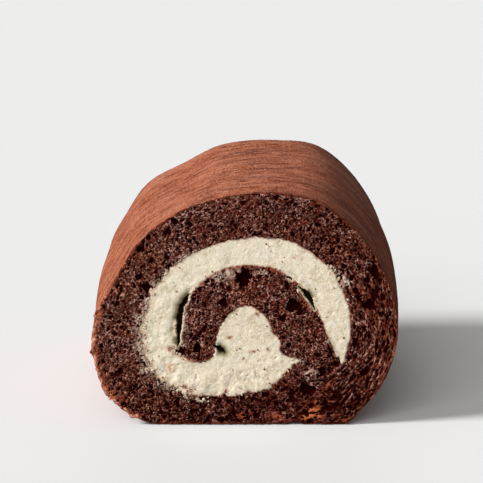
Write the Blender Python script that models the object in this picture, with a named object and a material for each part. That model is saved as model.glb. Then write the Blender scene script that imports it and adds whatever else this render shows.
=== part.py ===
"""Swiss roll cake: one chocolate sponge sheet rolled up around a cream filling.

The roll lies along the Y axis with its cut face at -Y.  It rests on the flat
underside of its last turn.  X runs to the right of the cut face and Z runs up.
The origin is the middle of the underside.  The sizes below are in millimetres,
and mesh vertices are in metres.
"""

import math

import bmesh
import bpy
from mathutils import Vector

MM = 0.001

ROLL_LENGTH = 165.0

# The sponge sheet from its inner end, in the cream, to its outer end, tucked
# under the roll.  Each station gives x and z of the sheet's middle line and
# the sheet's thickness there.
SHEET_STATIONS = (
    (-15.9, 24.0, 11.4),
    (-14.4, 35.0, 13.2),
    (-8.0, 43.7, 13.6),
    (0.6, 46.5, 13.2),
    (9.6, 43.9, 15.0),
    (16.6, 35.4, 15.4),
    (21.2, 25.0, 14.8),
    (22.2, 20.4, 14.6),
    (21.1, 16.0, 14.0),
    (18.2, 12.0, 13.2),
    (13.4, 7.2, 13.8),
    (2.0, 4.2, 11.6),
    (-14.0, 4.6, 10.2),
    (-25.4, 5.8, 13.4),
    (-35.6, 11.0, 15.9),
    (-41.6, 21.0, 15.8),
    (-42.0, 33.0, 15.6),
    (-36.9, 46.0, 12.6),
    (-28.6, 57.6, 13.8),
    (-15.0, 66.2, 14.4),
    (2.5, 70.0, 14.6),
    (18.8, 68.2, 15.4),
    (32.6, 58.2, 15.2),
    (40.8, 44.0, 15.0),
    (43.0, 30.6, 15.6),
    (39.8, 18.4, 15.2),
    (33.6, 9.8, 14.4),
    (26.8, 2.4, 12.4),
    (18.4, -1.0, 3.6),
)
STEPS_PER_STATION = 6
INNER_END_ROUNDING = 3.0
INNER_END_STEPS = 8

# Where the last turn of the sheet lies against the first one, as station
# numbers: the stretch of the first turn that it touches, and where it starts.
SEAM_FIRST_TURN = (5.0, 13.0)
SEAM_START = 24.5
SEAM_GAP = 0.35

# The cream keeps this clearance from the sponge, and thins to a tip where the
# last turn closes on the first one.
CREAM_CLEARANCE = 0.3
CREAM_TIP_OUTSIDE = 25.0
CREAM_TIP_INSIDE = 6.0

# Air pockets between the first turn and the cream: the stations where each
# starts and ends, and how wide it opens.
AIR_POCKETS = (
    (0.1, 1.6, 1.7),
    (4.2, 5.2, 1.6),
)

# Behind the cut face the roll is fuller.  Each swell has the height of its
# middle, its half height and its reach at the side of the roll.
BULGE_DEPTH = 110.0
HALF_WIDTH = 50.0
ROLL_HEIGHT = 77.0
RIGHT_SWELL = {"middle": 57.0, "half": 56.0, "reach": 5.4}
LEFT_SWELL = {"middle": 60.0, "half": 50.0, "reach": 5.0}
# The top edge of the roll dips on the left and lifts on the right: the x of
# the middle, the half width, and the rise at the roll's full height.
TOP_LEFT_DIP = {"middle": -23.0, "half": 14.0, "reach": -2.5}
TOP_RIGHT_LIFT = {"middle": 32.0, "half": 19.0, "reach": 3.5}
# Distances behind the cut face at which the roll's section is modelled.
SECTION_DEPTHS = (0.0, 12.0, 27.0, 47.0, 74.0, BULGE_DEPTH, ROLL_LENGTH)

SPONGE_COLOUR = (0.16, 0.055, 0.034, 1.0)
SPONGE_ROUGHNESS = 0.9
CREAM_COLOUR = (0.74, 0.66, 0.50, 1.0)
CREAM_ROUGHNESS = 0.55


def clear_scene():
    """Remove every object of the open scene."""
    for item in list(bpy.data.objects):
        bpy.data.objects.remove(item, do_unlink=True)


def smooth_bump(value, middle, half):
    """Return 1 at middle, falling smoothly to 0 at half away from it."""
    share = min(abs(value - middle) / half, 1.0)
    return (1.0 - share * share) ** 2


def spline_point(before, start, end, after, t):
    """Return the Catmull-Rom point at t between start and end, and its slope."""
    slope_start = (end - before) / 2.0
    slope_end = (after - start) / 2.0
    bend = 3.0 * (end - start) - 2.0 * slope_start - slope_end
    twist = 2.0 * (start - end) + slope_start + slope_end
    point = start + slope_start * t + bend * t ** 2 + twist * t ** 3
    slope = slope_start + 2.0 * bend * t + 3.0 * twist * t ** 2
    return point, slope


def sheet_samples():
    """Return smooth samples along the sheet.

    Each is the point of the middle line, half the sheet's thickness there,
    and the unit vector across the sheet, from its creamed side to its crust.
    """
    stations = [Vector(station) for station in SHEET_STATIONS]
    stations.insert(0, 2.0 * stations[0] - stations[1])
    stations.append(2.0 * stations[-1] - stations[-2])
    samples = []
    for index in range(1, len(stations) - 2):
        last = index == len(stations) - 3
        for step in range(STEPS_PER_STATION + last):
            t = step / STEPS_PER_STATION
            point, slope = spline_point(*stations[index - 1:index + 3], t)
            across = Vector((-slope.y, slope.x)).normalized()
            samples.append((point.xy, point.z / 2.0, across))
    return samples


def sample_number(station):
    """Return the number of the sample nearest to a station number."""
    return round(station * STEPS_PER_STATION)


def crust_side(samples, clearance=0.0):
    """Return the crust side of the sheet, moved off its surface by clearance."""
    return [middle + across * (half + clearance) for middle, half, across in samples]


def creamed_side(samples, clearance=0.0):
    """Return the creamed side of the sheet, moved off its surface by clearance."""
    return [middle - across * (half + clearance) for middle, half, across in samples]


def settled(points):
    """Return the points with none below the surface the roll rests on."""
    return [Vector((point.x, max(point.y, 0.0))) for point in points]


def inner_end(samples, clearance=0.0):
    """Return the rounded inner end of the sheet, from creamed side to crust side."""
    middle, half, across = samples[0]
    backward = Vector((-across.y, across.x))
    points = []
    for step in range(1, INNER_END_STEPS):
        angle = math.pi * step / INNER_END_STEPS
        sideways = across * (half + clearance) * -math.cos(angle)
        outward = backward * (INNER_END_ROUNDING + clearance) * math.sin(angle)
        points.append(middle + sideways + outward)
    return points


def nearest_on_path(point, path):
    """Return the nearest point of a path and the path's left side there."""
    best = None
    for start, end in zip(path, path[1:]):
        edge = end - start
        share = (point - start).dot(edge) / edge.length_squared
        foot = start + edge * min(max(share, 0.0), 1.0)
        distance = (point - foot).length
        if best is None or distance < best[0]:
            best = (distance, foot, Vector((-edge.y, edge.x)).normalized())
    return best[1], best[2]


def held_off(points, path, gap):
    """Return the points with each one at least gap to the left of the path."""
    moved = []
    for point in points:
        foot, left = nearest_on_path(point, path)
        if (point - foot).dot(left) < gap:
            point = foot + left * gap
        moved.append(point)
    return moved


def sponge_outline():
    """Return the closed outline of the sponge on the cut face."""
    samples = sheet_samples()
    crust = settled(crust_side(samples))
    creamed = creamed_side(samples)
    seam = crust[sample_number(SEAM_FIRST_TURN[0]):sample_number(SEAM_FIRST_TURN[1])]
    start = sample_number(SEAM_START)
    creamed[start:] = held_off(creamed[start:], seam, SEAM_GAP)
    return crust[::-1] + inner_end(samples)[::-1] + settled(creamed)


def pocket_width(station):
    """Return how far the cream stands off the first turn at a station."""
    for start, end, width in AIR_POCKETS:
        if start < station < end:
            return width * math.sin(math.pi * (station - start) / (end - start))
    return 0.0


def cream_outline():
    """Return the closed outline of the cream on the cut face."""
    samples = sheet_samples()
    outside = creamed_side(samples, CREAM_CLEARANCE)[:sample_number(CREAM_TIP_OUTSIDE) + 1]
    inside = crust_side(samples, CREAM_CLEARANCE)[:sample_number(CREAM_TIP_INSIDE) + 1]
    for index, point in enumerate(inside):
        across = samples[index][2]
        inside[index] = point + across * pocket_width(index / STEPS_PER_STATION)
    return outside[::-1] + inner_end(samples, CREAM_CLEARANCE) + inside


def fuller(point, depth):
    """Return an outline point where it lies at a depth behind the cut face."""
    share = min(depth / BULGE_DEPTH, 1.0)
    growth = 1.0 - (1.0 - share) ** 2
    x, z = point
    side = RIGHT_SWELL if x > 0.0 else LEFT_SWELL
    swell = side["reach"] * smooth_bump(z, side["middle"], side["half"])
    outward = math.copysign(swell * (x / HALF_WIDTH) ** 2, x)
    rise = 0.0
    for shoulder in (TOP_LEFT_DIP, TOP_RIGHT_LIFT):
        rise += shoulder["reach"] * smooth_bump(x, shoulder["middle"], shoulder["half"])
    upward = rise * (z / ROLL_HEIGHT) ** 2
    return Vector((x + growth * outward, z + growth * upward))


def roll_middle():
    """Return the x midway between the roll's two sides where it is fullest."""
    across = [fuller(point, ROLL_LENGTH).x for point in sponge_outline()]
    return (min(across) + max(across)) / 2.0


def loft(name, outline):
    """Return a closed mesh of the outline carried along the whole roll."""
    middle = roll_middle()
    shape = bmesh.new()
    rings = []
    for depth in SECTION_DEPTHS:
        y = (depth - ROLL_LENGTH / 2.0) * MM
        ring = []
        for point in outline:
            x, z = fuller(point, depth)
            ring.append(shape.verts.new(((x - middle) * MM, y, z * MM)))
        rings.append(ring)
    for near, far in zip(rings, rings[1:]):
        for index in range(len(outline)):
            before = index - 1
            shape.faces.new((near[before], near[index], far[index], far[before]))
    shape.faces.new(rings[0])
    shape.faces.new(rings[-1])
    bmesh.ops.recalc_face_normals(shape, faces=shape.faces)
    mesh = bpy.data.meshes.new(name)
    shape.to_mesh(mesh)
    shape.free()
    mesh.shade_smooth()
    mesh.set_sharp_from_angle(angle=math.radians(40.0))
    return mesh


def food_material(name, colour, roughness):
    """Return a plain Principled material."""
    material = bpy.data.materials.new(name)
    material.use_nodes = True
    shader = material.node_tree.nodes["Principled BSDF"]
    shader.inputs["Base Color"].default_value = colour
    shader.inputs["Roughness"].default_value = roughness
    shader.inputs["Metallic"].default_value = 0.0
    material.diffuse_color = colour
    return material


def add_part(collection, name, outline, material):
    """Add one lofted sub-part of the roll to the collection."""
    part = bpy.data.objects.new(name, loft(name, outline))
    part.data.materials.append(material)
    collection.objects.link(part)
    return part


def build():
    """Build the whole swiss roll."""
    clear_scene()
    collection = bpy.data.collections.new("swiss_roll_cake")
    bpy.context.scene.collection.children.link(collection)
    sponge = food_material("chocolate_sponge", SPONGE_COLOUR, SPONGE_ROUGHNESS)
    cream = food_material("whipped_cream", CREAM_COLOUR, CREAM_ROUGHNESS)
    add_part(collection, "sponge", sponge_outline(), sponge)
    add_part(collection, "cream", cream_outline(), cream)


build()
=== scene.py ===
"""Swiss roll cake: a chocolate sponge sheet rolled up round pale whipped cream.

The roll lies along Y with its cut face at -Y, on a plain pale floor.  Sizes are
in millimetres in the roll's own frame, and every mesh is made in metres.
"""

import logging
import math
from dataclasses import dataclass, field
from enum import Enum
from typing import Any, Sequence

import bmesh
import bpy
import numpy as np
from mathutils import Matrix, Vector
from numpy.typing import NDArray


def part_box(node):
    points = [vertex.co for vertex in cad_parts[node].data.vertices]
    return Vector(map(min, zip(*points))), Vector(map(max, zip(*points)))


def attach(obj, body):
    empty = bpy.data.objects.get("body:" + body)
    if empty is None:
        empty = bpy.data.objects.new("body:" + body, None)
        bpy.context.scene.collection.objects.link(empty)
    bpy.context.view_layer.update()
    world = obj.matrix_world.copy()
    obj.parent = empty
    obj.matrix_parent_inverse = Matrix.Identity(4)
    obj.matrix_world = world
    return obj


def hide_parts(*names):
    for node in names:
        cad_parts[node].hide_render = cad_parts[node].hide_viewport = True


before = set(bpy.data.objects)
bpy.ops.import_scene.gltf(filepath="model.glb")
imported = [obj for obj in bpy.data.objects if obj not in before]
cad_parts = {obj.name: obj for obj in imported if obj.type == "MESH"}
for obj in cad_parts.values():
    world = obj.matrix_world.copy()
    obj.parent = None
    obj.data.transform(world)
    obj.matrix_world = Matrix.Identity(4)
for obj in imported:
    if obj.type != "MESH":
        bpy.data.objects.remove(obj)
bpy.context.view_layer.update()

LOG = logging.getLogger("swiss_roll")

MM = 0.001
BODY = "root"
BAKE_MAP = "OFBake"
# A corner lower than this stands on the floor.
GROUND = 0.02
# What the crumb's finish reads on the sheet's sides inside the roll.
WALL_VALUES = {"pit_shade": 0.5, "browned": 0.2, "creamed": 0.0, "lit": 0.8}
# How far inside its rim a cut face's skirt runs back, and how dark its painted shade is, as deep in a pore.
SKIRT_INSET = 1.2
SKIRT_SHADE = 1.0
FRONT_SEED = 300
BACK_SEED = 340
# How many random numbers a relief and a foam hold each way before they repeat.
NOISE_CELLS = 256
FOAM_CELLS = 251
# How much of its size the edge of a large hole wanders.
HOLE_RAGGEDNESS = 0.34
# How far from the crust the last turn of the sheet reaches.
LAST_TURN_REACH = 15.2
# Where the pores of the first turn and of the back cut start, so that none is like another.
FIRST_TURN_START = 500.0
BACK_CUT_START = 400.0

Points = NDArray[np.float64]
Values = NDArray[np.float64]
Numbers = NDArray[np.int64]
Mask = NDArray[np.bool_]
Colour = tuple[float, float, float, float]
Node = bpy.types.Node
Socket = bpy.types.NodeSocket
Material = bpy.types.Material
Piece = bpy.types.Object


def later() -> Any:
    """Return a field that a class works out itself from the others."""
    return field(init=False)


class Side(Enum):
    """The two cut faces of the roll."""

    FRONT = "front"
    BACK = "back"


# ---- plane shapes ----


def running_length(line: Points) -> Values:
    """Return how far along a line each of its points lies."""
    return np.concatenate([[0.0], np.cumsum(np.linalg.norm(np.diff(line, axis=0), axis=1))])


def respaced(line: Points, step: float, closed: bool = False) -> Points:
    """Return a line with its points spaced evenly from end to end.

    Args:
        line: The line's points, in order, perhaps with more values after their x and z.
        step: The wanted spacing.
        closed: True for a ring, which starts at the same corner and doesn't repeat it.

    Returns:
        The evenly spaced points.
    """
    if closed:
        line = np.vstack([line, line[:1]])
    run = running_length(line[:, :2])
    count = max(int(run[-1] / step), 8) if closed else max(int(round(run[-1] / step)), 2) + 1
    places = np.linspace(0.0, run[-1], count, endpoint=not closed)
    return np.column_stack([np.interp(places, run, column) for column in line.T])


def eased_ring(ring: Points, spread: float, step: float) -> Points:
    """Return an evenly spaced ring with its facets smoothed away.

    Args:
        ring: Evenly spaced points.
        spread: How far each point is averaged with its neighbours.
        step: The points' spacing.

    Returns:
        The smoothed ring.
    """
    reach = int(3.0 * spread / step)
    eased = np.zeros_like(ring)
    total = 0.0
    for offset in range(-reach, reach + 1):
        weight = math.exp(-0.5 * (offset * step / spread) ** 2)
        eased += weight * np.roll(ring, offset, axis=0)
        total += weight
    return eased / total


def line_normals(line: Points) -> Points:
    """Return the unit normal on the right-hand side at each point of an open line.

    Args:
        line: The line's points, in order.

    Returns:
        One normal for each point.
    """
    along = np.gradient(line, axis=0)
    along /= np.maximum(np.linalg.norm(along, axis=1), 1e-9)[:, None]
    return np.column_stack([along[:, 1], -along[:, 0]])


def signed_area(ring: Points) -> float:
    """Return a ring's area, positive when it runs anticlockwise."""
    after = np.roll(ring, -1, axis=0)
    return 0.5 * float(np.sum(ring[:, 0] * after[:, 1] - after[:, 0] * ring[:, 1]))


def nearest_points(points: Points, line: Points) -> tuple[Values, Numbers]:
    """Return how far each point is from a closely spaced line, and its nearest point there.

    Args:
        points: The points to measure from.
        line: The line's points.

    Returns:
        The distances, and the numbers of the nearest points of the line.
    """
    distances = np.empty(len(points))
    numbers = np.empty(len(points), dtype=np.int64)
    chunk = 4000
    for start in range(0, len(points), chunk):
        part = points[start:start + chunk]
        gaps = ((part[:, None, :] - line[None, :, :]) ** 2).sum(axis=2)
        best = gaps.argmin(axis=1)
        numbers[start:start + chunk] = best
        distances[start:start + chunk] = np.sqrt(gaps[np.arange(len(part)), best])
    return distances, numbers


def rising(value: Values, start: float, width: float) -> Values:
    """Return 0 up to the start, rising evenly to 1 over a width."""
    return np.clip((value - start) / width, 0.0, 1.0)


def falling(value: Values, end: float, width: float) -> Values:
    """Return 1, falling evenly over a width to 0 at the end and beyond it."""
    return np.clip((end - value) / width, 0.0, 1.0)


def turned(right: Any, up: Any, lean: float) -> tuple[Any, Any]:
    """Return places turned anticlockwise about the origin by a lean in degrees."""
    sine, cosine = math.sin(math.radians(lean)), math.cos(math.radians(lean))
    return right * cosine - up * sine, right * sine + up * cosine


def low_left(x: Values, z: Values) -> Values:
    """Return how far places lie low on the left, where the roll's rim is torn."""
    return rising(-x, 24.0, 10.0) * falling(z, 50.0, 14.0)


@dataclass(frozen=True)
class SoftNoise:
    """Smooth random relief between -1 and 1, the same each run.

    Attributes:
        seed: Which relief.
        long: The size of its lumps along the first direction.
        wide: The size of its lumps along the second direction.
    """

    seed: int
    long: float
    wide: float

    def at(self, first: Values, second: Values) -> Values:
        """Return the relief at places.

        Args:
            first: The places along the first direction.
            second: The places along the second direction.

        Returns:
            The relief at each place.
        """
        size = NOISE_CELLS
        table = np.random.default_rng(self.seed).uniform(-1.0, 1.0, (size, size))
        u, v = first / self.long, second / self.wide
        column, row = np.floor(u).astype(int), np.floor(v).astype(int)
        right, up = u - column, v - row
        right, up = right * right * (3.0 - 2.0 * right), up * up * (3.0 - 2.0 * up)
        here = table[column % size, row % size]
        beside = table[(column + 1) % size, row % size]
        above = table[column % size, (row + 1) % size]
        across = table[(column + 1) % size, (row + 1) % size]
        return (here * (1 - right) + beside * right) * (1 - up) + (above * (1 - right) + across * right) * up


def lumps(seed: int, size: float, first: Values, second: Values) -> Values:
    """Return smooth relief at places, with lumps as wide as they are long."""
    return SoftNoise(seed, size, size).at(first, second)


@dataclass(frozen=True)
class Spot:
    """An oval place on the cut face, in millimetres.

    Attributes:
        x: Its middle, to the right of the roll's middle.
        z: Its middle, above the floor.
        width: Half its width.
        height: Half its height.
        amount: How strong or how deep it is.
        lean: How far it is turned anticlockwise, in degrees.
    """

    x: float
    z: float
    width: float
    height: float
    amount: float = 1.0
    lean: float = 0.0

    def reach(self, x: Values, z: Values) -> Values:
        """Return how far places are from the middle, in units of the oval's own size."""
        along, across = turned(x - self.x, z - self.z, -self.lean)
        return np.hypot(along / self.width, across / self.height)


Spots = tuple[Spot, ...]


def painted(spots: Spots, x: Values, z: Values) -> Values:
    """Return how strongly soft spots cover places.

    Args:
        spots: The spots.
        x: Their first coordinates.
        z: Their second coordinates.

    Returns:
        The strongest cover at each place, from 0 up to the spots' amounts.
    """
    cover = np.zeros_like(x)
    for spot in spots:
        cover = np.maximum(cover, spot.amount * np.exp(-spot.reach(x, z) ** 2))
    return cover


# ---- mesh tools ----


@dataclass
class MeshParts:
    """Corners and faces gathered for one piece, with values that vary over it.

    Attributes:
        corners: The corners, in millimetres.
        faces: The corner numbers of each face.
        values: What the finish reads from the mesh, a number or a place for each corner.
        bake_places: Where each corner lies on the flat chart of the piece, if it has one.
    """

    corners: Points
    faces: list[list[int]]
    values: dict[str, Values] = field(default_factory=dict)
    bake_places: Points | None = None

    def made(self, name: str, material: Material) -> Piece:
        """Return an object in the scene with this mesh.

        Args:
            name: The piece's name.
            material: Its finish.

        Returns:
            The new object.
        """
        mesh = bpy.data.meshes.new(name)
        mesh.from_pydata((self.corners * MM).tolist(), [], self.faces)
        for key, values in self.values.items():
            kind, label = ("FLOAT", "value") if values.ndim == 1 else ("FLOAT_VECTOR", "vector")
            layer = mesh.attributes.new(key, kind, "POINT")
            layer.data.foreach_set(label, values.astype(np.float32).ravel())
        if self.bake_places is not None:
            uses = np.empty(len(mesh.loops), dtype=np.int32)
            mesh.loops.foreach_get("vertex_index", uses)
            chart = mesh.uv_layers.new(name=BAKE_MAP)
            chart.uv.foreach_set("vector", self.bake_places[uses].astype(np.float32).ravel())
        mesh.materials.append(material)
        mesh.shade_smooth()
        return shown(name, mesh)


def side_faces(near: Numbers, far: Numbers, edges: Numbers) -> Numbers:
    """Return the faces between two rows of a border's corners, one for each edge of the border."""
    start, end = edges.T
    return np.column_stack([near[start], far[start], far[end], near[end]])


def shown(name: str, data: Any) -> Piece:
    """Return a new object in the scene that holds a mesh, a lamp or a camera.

    Args:
        name: The object's name.
        data: What it holds.

    Returns:
        The object.
    """
    item = bpy.data.objects.new(name, data)
    bpy.context.scene.collection.objects.link(item)
    return item


def strip_faces(rows: int, columns: int) -> list[list[int]]:
    """Return the faces of an open sheet of corners numbered row by row.

    Args:
        rows: How many rows of corners there are.
        columns: How many corners each row has.

    Returns:
        Four corner numbers for each face.
    """
    here = np.arange(rows - 1)[:, None] * columns + np.arange(columns - 1)[None, :]
    above = here + columns
    return np.stack([here, here + 1, above + 1, above], axis=-1).reshape(-1, 4).tolist()


# ---- roll form ----


@dataclass
class RollForm:
    """The roll's outlines on the front cut, and how it swells behind the cut.

    Attributes:
        fullest_at: How far behind the front cut the roll is fullest.
        fine: The spacing of the points of the smoothed outlines.
        ease: How far facets are smoothed.
        shift_step: The spacing of the places whose moves behind the cut are known.
        shift_ease: How far those moves are smoothed along the outline.
        shift_softness: How much a place shares the moves of more than its nearest of those.
        length: The roll's length.
        sponge: The sponge's smoothed outline on the front cut, as cream is the cream's.
        skin: The stretch of the sponge's outline that is crust and shows.
        fold: The stretch of crust that lies inside the roll.
        creamed: The stretch that lies against the cream.
    """

    fullest_at: float = 110.0
    fine: float = 0.25
    ease: float = 0.8
    shift_step: float = 0.6
    shift_ease: float = 2.0
    shift_softness: float = 0.3
    length: float = later()
    sponge: Points = later()
    cream: Points = later()
    skin: Points = later()
    fold: Points = later()
    creamed: Points = later()
    _corners: Points = later()
    _shifts: Points = later()

    def __post_init__(self) -> None:
        """Read the outlines from the frame and part the sponge's into its sides."""
        low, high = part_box("sponge")
        self.length = (high.y - low.y) / MM
        front = self._from_outer_tip(self._ring("sponge", Side.FRONT))
        back = self._from_outer_tip(self._ring("sponge", Side.BACK))
        corners, back = self._paired(front, back)
        moved = respaced(np.column_stack([corners, back - corners]), self.shift_step, closed=True)
        self._corners = moved[:, :2]
        self._shifts = eased_ring(moved[:, 2:], self.shift_ease, self.shift_step)
        self.sponge = self._smooth(front)
        self.cream = self._smooth(self._ring("cream", Side.FRONT))
        self._part_sides()

    def _ring(self, node: str, side: Side) -> Points:
        """Return a node's outline on one cut face, anticlockwise as seen from the front.

        Args:
            node: The node's name.
            side: Which cut face.

        Returns:
            The outline's corners, in order.
        """
        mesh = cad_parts[node].data
        corners = np.empty(len(mesh.vertices) * 3, dtype=np.float32)
        mesh.vertices.foreach_get("co", corners)
        microns = np.round(corners.reshape(-1, 3).astype(float) / MM * 1000.0).astype(int)
        # Corners in the same place count as one, and the border is what one triangle uses.
        spots, welded = np.unique(microns, axis=0, return_inverse=True)
        faces = welded.ravel()[np.array([face.vertices for face in mesh.polygons])]
        level = spots[:, 1].min() if side is Side.FRONT else spots[:, 1].max()
        cap = faces[(np.abs(spots[faces][:, :, 1] - level) < 10).all(axis=1)]
        edges = np.sort(np.vstack([cap[:, [0, 1]], cap[:, [1, 2]], cap[:, [2, 0]]]), axis=1)
        edges, uses = np.unique(edges, axis=0, return_counts=True)
        neighbours: dict[int, list[int]] = {}
        for start, end in edges[uses == 1].tolist():
            neighbours.setdefault(start, []).append(end)
            neighbours.setdefault(end, []).append(start)
        path = [min(neighbours)]
        before = -1
        while True:
            ahead = [number for number in neighbours[path[-1]] if number != before][0]
            if ahead == path[0]:
                break
            before = path[-1]
            path.append(ahead)
        ring = spots[path][:, [0, 2]] / 1000.0
        return ring if signed_area(ring) > 0.0 else ring[::-1]

    @staticmethod
    def _from_outer_tip(ring: Points) -> Points:
        """Return the sponge's ring starting where its outer end lies on the floor.

        Args:
            ring: The ring's corners, in order.

        Returns:
            The same corners in the same order, from that one on.
        """
        grounded = ring[:, 1] < GROUND
        starts = np.flatnonzero(grounded & ~np.roll(grounded, 1))
        tip = starts[np.argmax(ring[starts, 0])]
        return np.roll(ring, -tip, axis=0)

    @staticmethod
    def _paired(first: Points, second: Points) -> tuple[Points, Points]:
        """Return two rings with equally many corners, leaving out those with no partner.

        Args:
            first: One ring.
            second: The same ring a little swollen, perhaps with a few corners more or fewer.

        Returns:
            Both rings, corner for corner.
        """
        while len(first) != len(second):
            longer, shorter = (first, second) if len(first) > len(second) else (second, first)
            trials = [np.delete(longer, number, axis=0) for number in range(len(longer))]
            jumps = [
                np.abs(np.diff(trial[:len(shorter)] - shorter[:len(trial)], axis=0)).sum()
                for trial in trials
            ]
            longer = trials[int(np.argmin(jumps))]
            first, second = (longer, shorter) if len(first) > len(second) else (shorter, longer)
        return first, second

    def _smooth(self, ring: Points) -> Points:
        """Return a ring with even close spacing and no facets, still on the floor.

        Args:
            ring: The ring's corners, in order.

        Returns:
            The smoothed ring.
        """
        even = eased_ring(respaced(ring, self.fine, closed=True), self.ease, self.fine)
        even[:, 1] = np.maximum(even[:, 1], 0.0)
        return even

    def _part_sides(self) -> None:
        """Part the sponge's outline into skin, inner fold of the crust and creamed side."""
        ring = self.sponge
        along = np.roll(ring, -1, axis=0) - ring
        heading = np.arctan2(along[:, 1], along[:, 0])
        turns = np.angle(np.exp(1j * (heading - np.roll(heading, 1))))
        # The inner end is where the outline turns most within a short stretch inside the roll.
        window = int(6.0 / self.fine)
        turned = sum(np.roll(turns, offset) for offset in range(-window, window + 1))
        inside = (ring[:, 1] > 10.0) & (np.abs(ring[:, 0]) < 30.0)
        inner_end = int(np.argmax(np.where(inside, turned, -9.0)))
        # The crust turns in where the outline leaves the floor for the last time.
        lifted = (ring[:inner_end, 1] > 0.3) & (np.roll(ring[:, 1], 4)[:inner_end] <= 0.3)
        entries = np.flatnonzero(lifted & (np.arange(inner_end) > len(ring) // 4))
        seam = int(entries[0])
        self.skin = ring[:seam + 1]
        self.fold = ring[seam:inner_end + 1]
        self.creamed = ring[inner_end:]

    def shift(self, points: Points) -> Points:
        """Return how far places on the front cut move where the roll is fullest.

        Args:
            points: The places.

        Returns:
            The move of each, worked out from the nearby corners of the outline.
        """
        moves = np.empty_like(points)
        chunk = 3000
        for start in range(0, len(points), chunk):
            part = points[start:start + chunk]
            gaps = sum((part[:, None, axis] - self._corners[None, :, axis]) ** 2 for axis in (0, 1))
            weights = (gaps + self.shift_softness) ** -2
            moves[start:start + chunk] = weights @ self._shifts / weights.sum(axis=1)[:, None]
        return moves

    def behind(self, depth: Values, side: Side) -> Values:
        """Return depths behind the front cut for depths behind either cut."""
        return depth if side is Side.FRONT else self.length - depth

    def placed(self, points: Points, depth: Values, shift: Points) -> Points:
        """Return where points of the front cut lie at a depth behind it.

        Args:
            points: Places on the front cut.
            depth: How far behind the cut each one goes.
            shift: Their moves where the roll is fullest.

        Returns:
            Places in the roll's frame.
        """
        growth = 1.0 - (1.0 - np.clip(depth / self.fullest_at, 0.0, 1.0)) ** 2
        moved = points + growth[:, None] * shift
        return np.column_stack([moved[:, 0], depth - self.length / 2.0, moved[:, 1]])


def covered(outline: Points, x: Values, z: Values) -> Mask:
    """Return which places of a square lattice lie inside a closed outline.

    Args:
        outline: The outline's points, in order.
        x: The lattice's columns.
        z: The lattice's rows.

    Returns:
        True for each place inside, row by row.
    """
    start, end = outline, np.roll(outline, -1, axis=0)
    inside = np.zeros((len(z), len(x)), dtype=bool)
    for row, level in enumerate(z):
        crossing = (start[:, 1] <= level) != (end[:, 1] <= level)
        near, far = start[crossing], end[crossing]
        share = (level - near[:, 1]) / (far[:, 1] - near[:, 1])
        meets = np.sort(near[:, 0] + share * (far[:, 0] - near[:, 0]))
        inside[row] = np.searchsorted(meets, x) % 2 == 1
    return inside


def distance_to(region: Mask, step: float, limit: float) -> Values:
    """Return how far each place of a lattice is from a region, up to a limit.

    Args:
        region: True at the region's places.
        step: The lattice's spacing.
        limit: The longest distance that matters.

    Returns:
        The distance at each place.
    """
    reach = int(limit / step)
    nearest = np.full(region.shape, limit)
    for down in range(-reach, reach + 1):
        for right in range(-reach, reach + 1):
            apart = math.hypot(down, right) * step
            if apart < limit:
                moved = np.roll(region, (down, right), axis=(0, 1))
                np.minimum(nearest, np.where(moved, apart, limit), out=nearest)
    return nearest


@dataclass(frozen=True)
class Crack:
    """A gap in the cut face that opens and closes along a line.

    Attributes:
        places: Each place's x, z and half the gap's width there.
    """

    places: tuple[tuple[float, float, float], ...]

    def covers(self, x: Values, z: Values) -> Mask:
        """Return which places lie in the gap.

        Args:
            x: Their first coordinates.
            z: Their second coordinates.

        Returns:
            True for each place inside.
        """
        inside = np.zeros(x.shape, dtype=bool)
        for start, end in zip(self.places, self.places[1:]):
            along = np.array(end) - np.array(start)
            share = ((x - start[0]) * along[0] + (z - start[1]) * along[1]) / (along[0] ** 2 + along[1] ** 2)
            share = np.clip(share, 0.0, 1.0)
            gap = np.hypot(x - start[0] - share * along[0], z - start[1] - share * along[1])
            inside |= gap < start[2] + share * along[2]
        return inside


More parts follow.
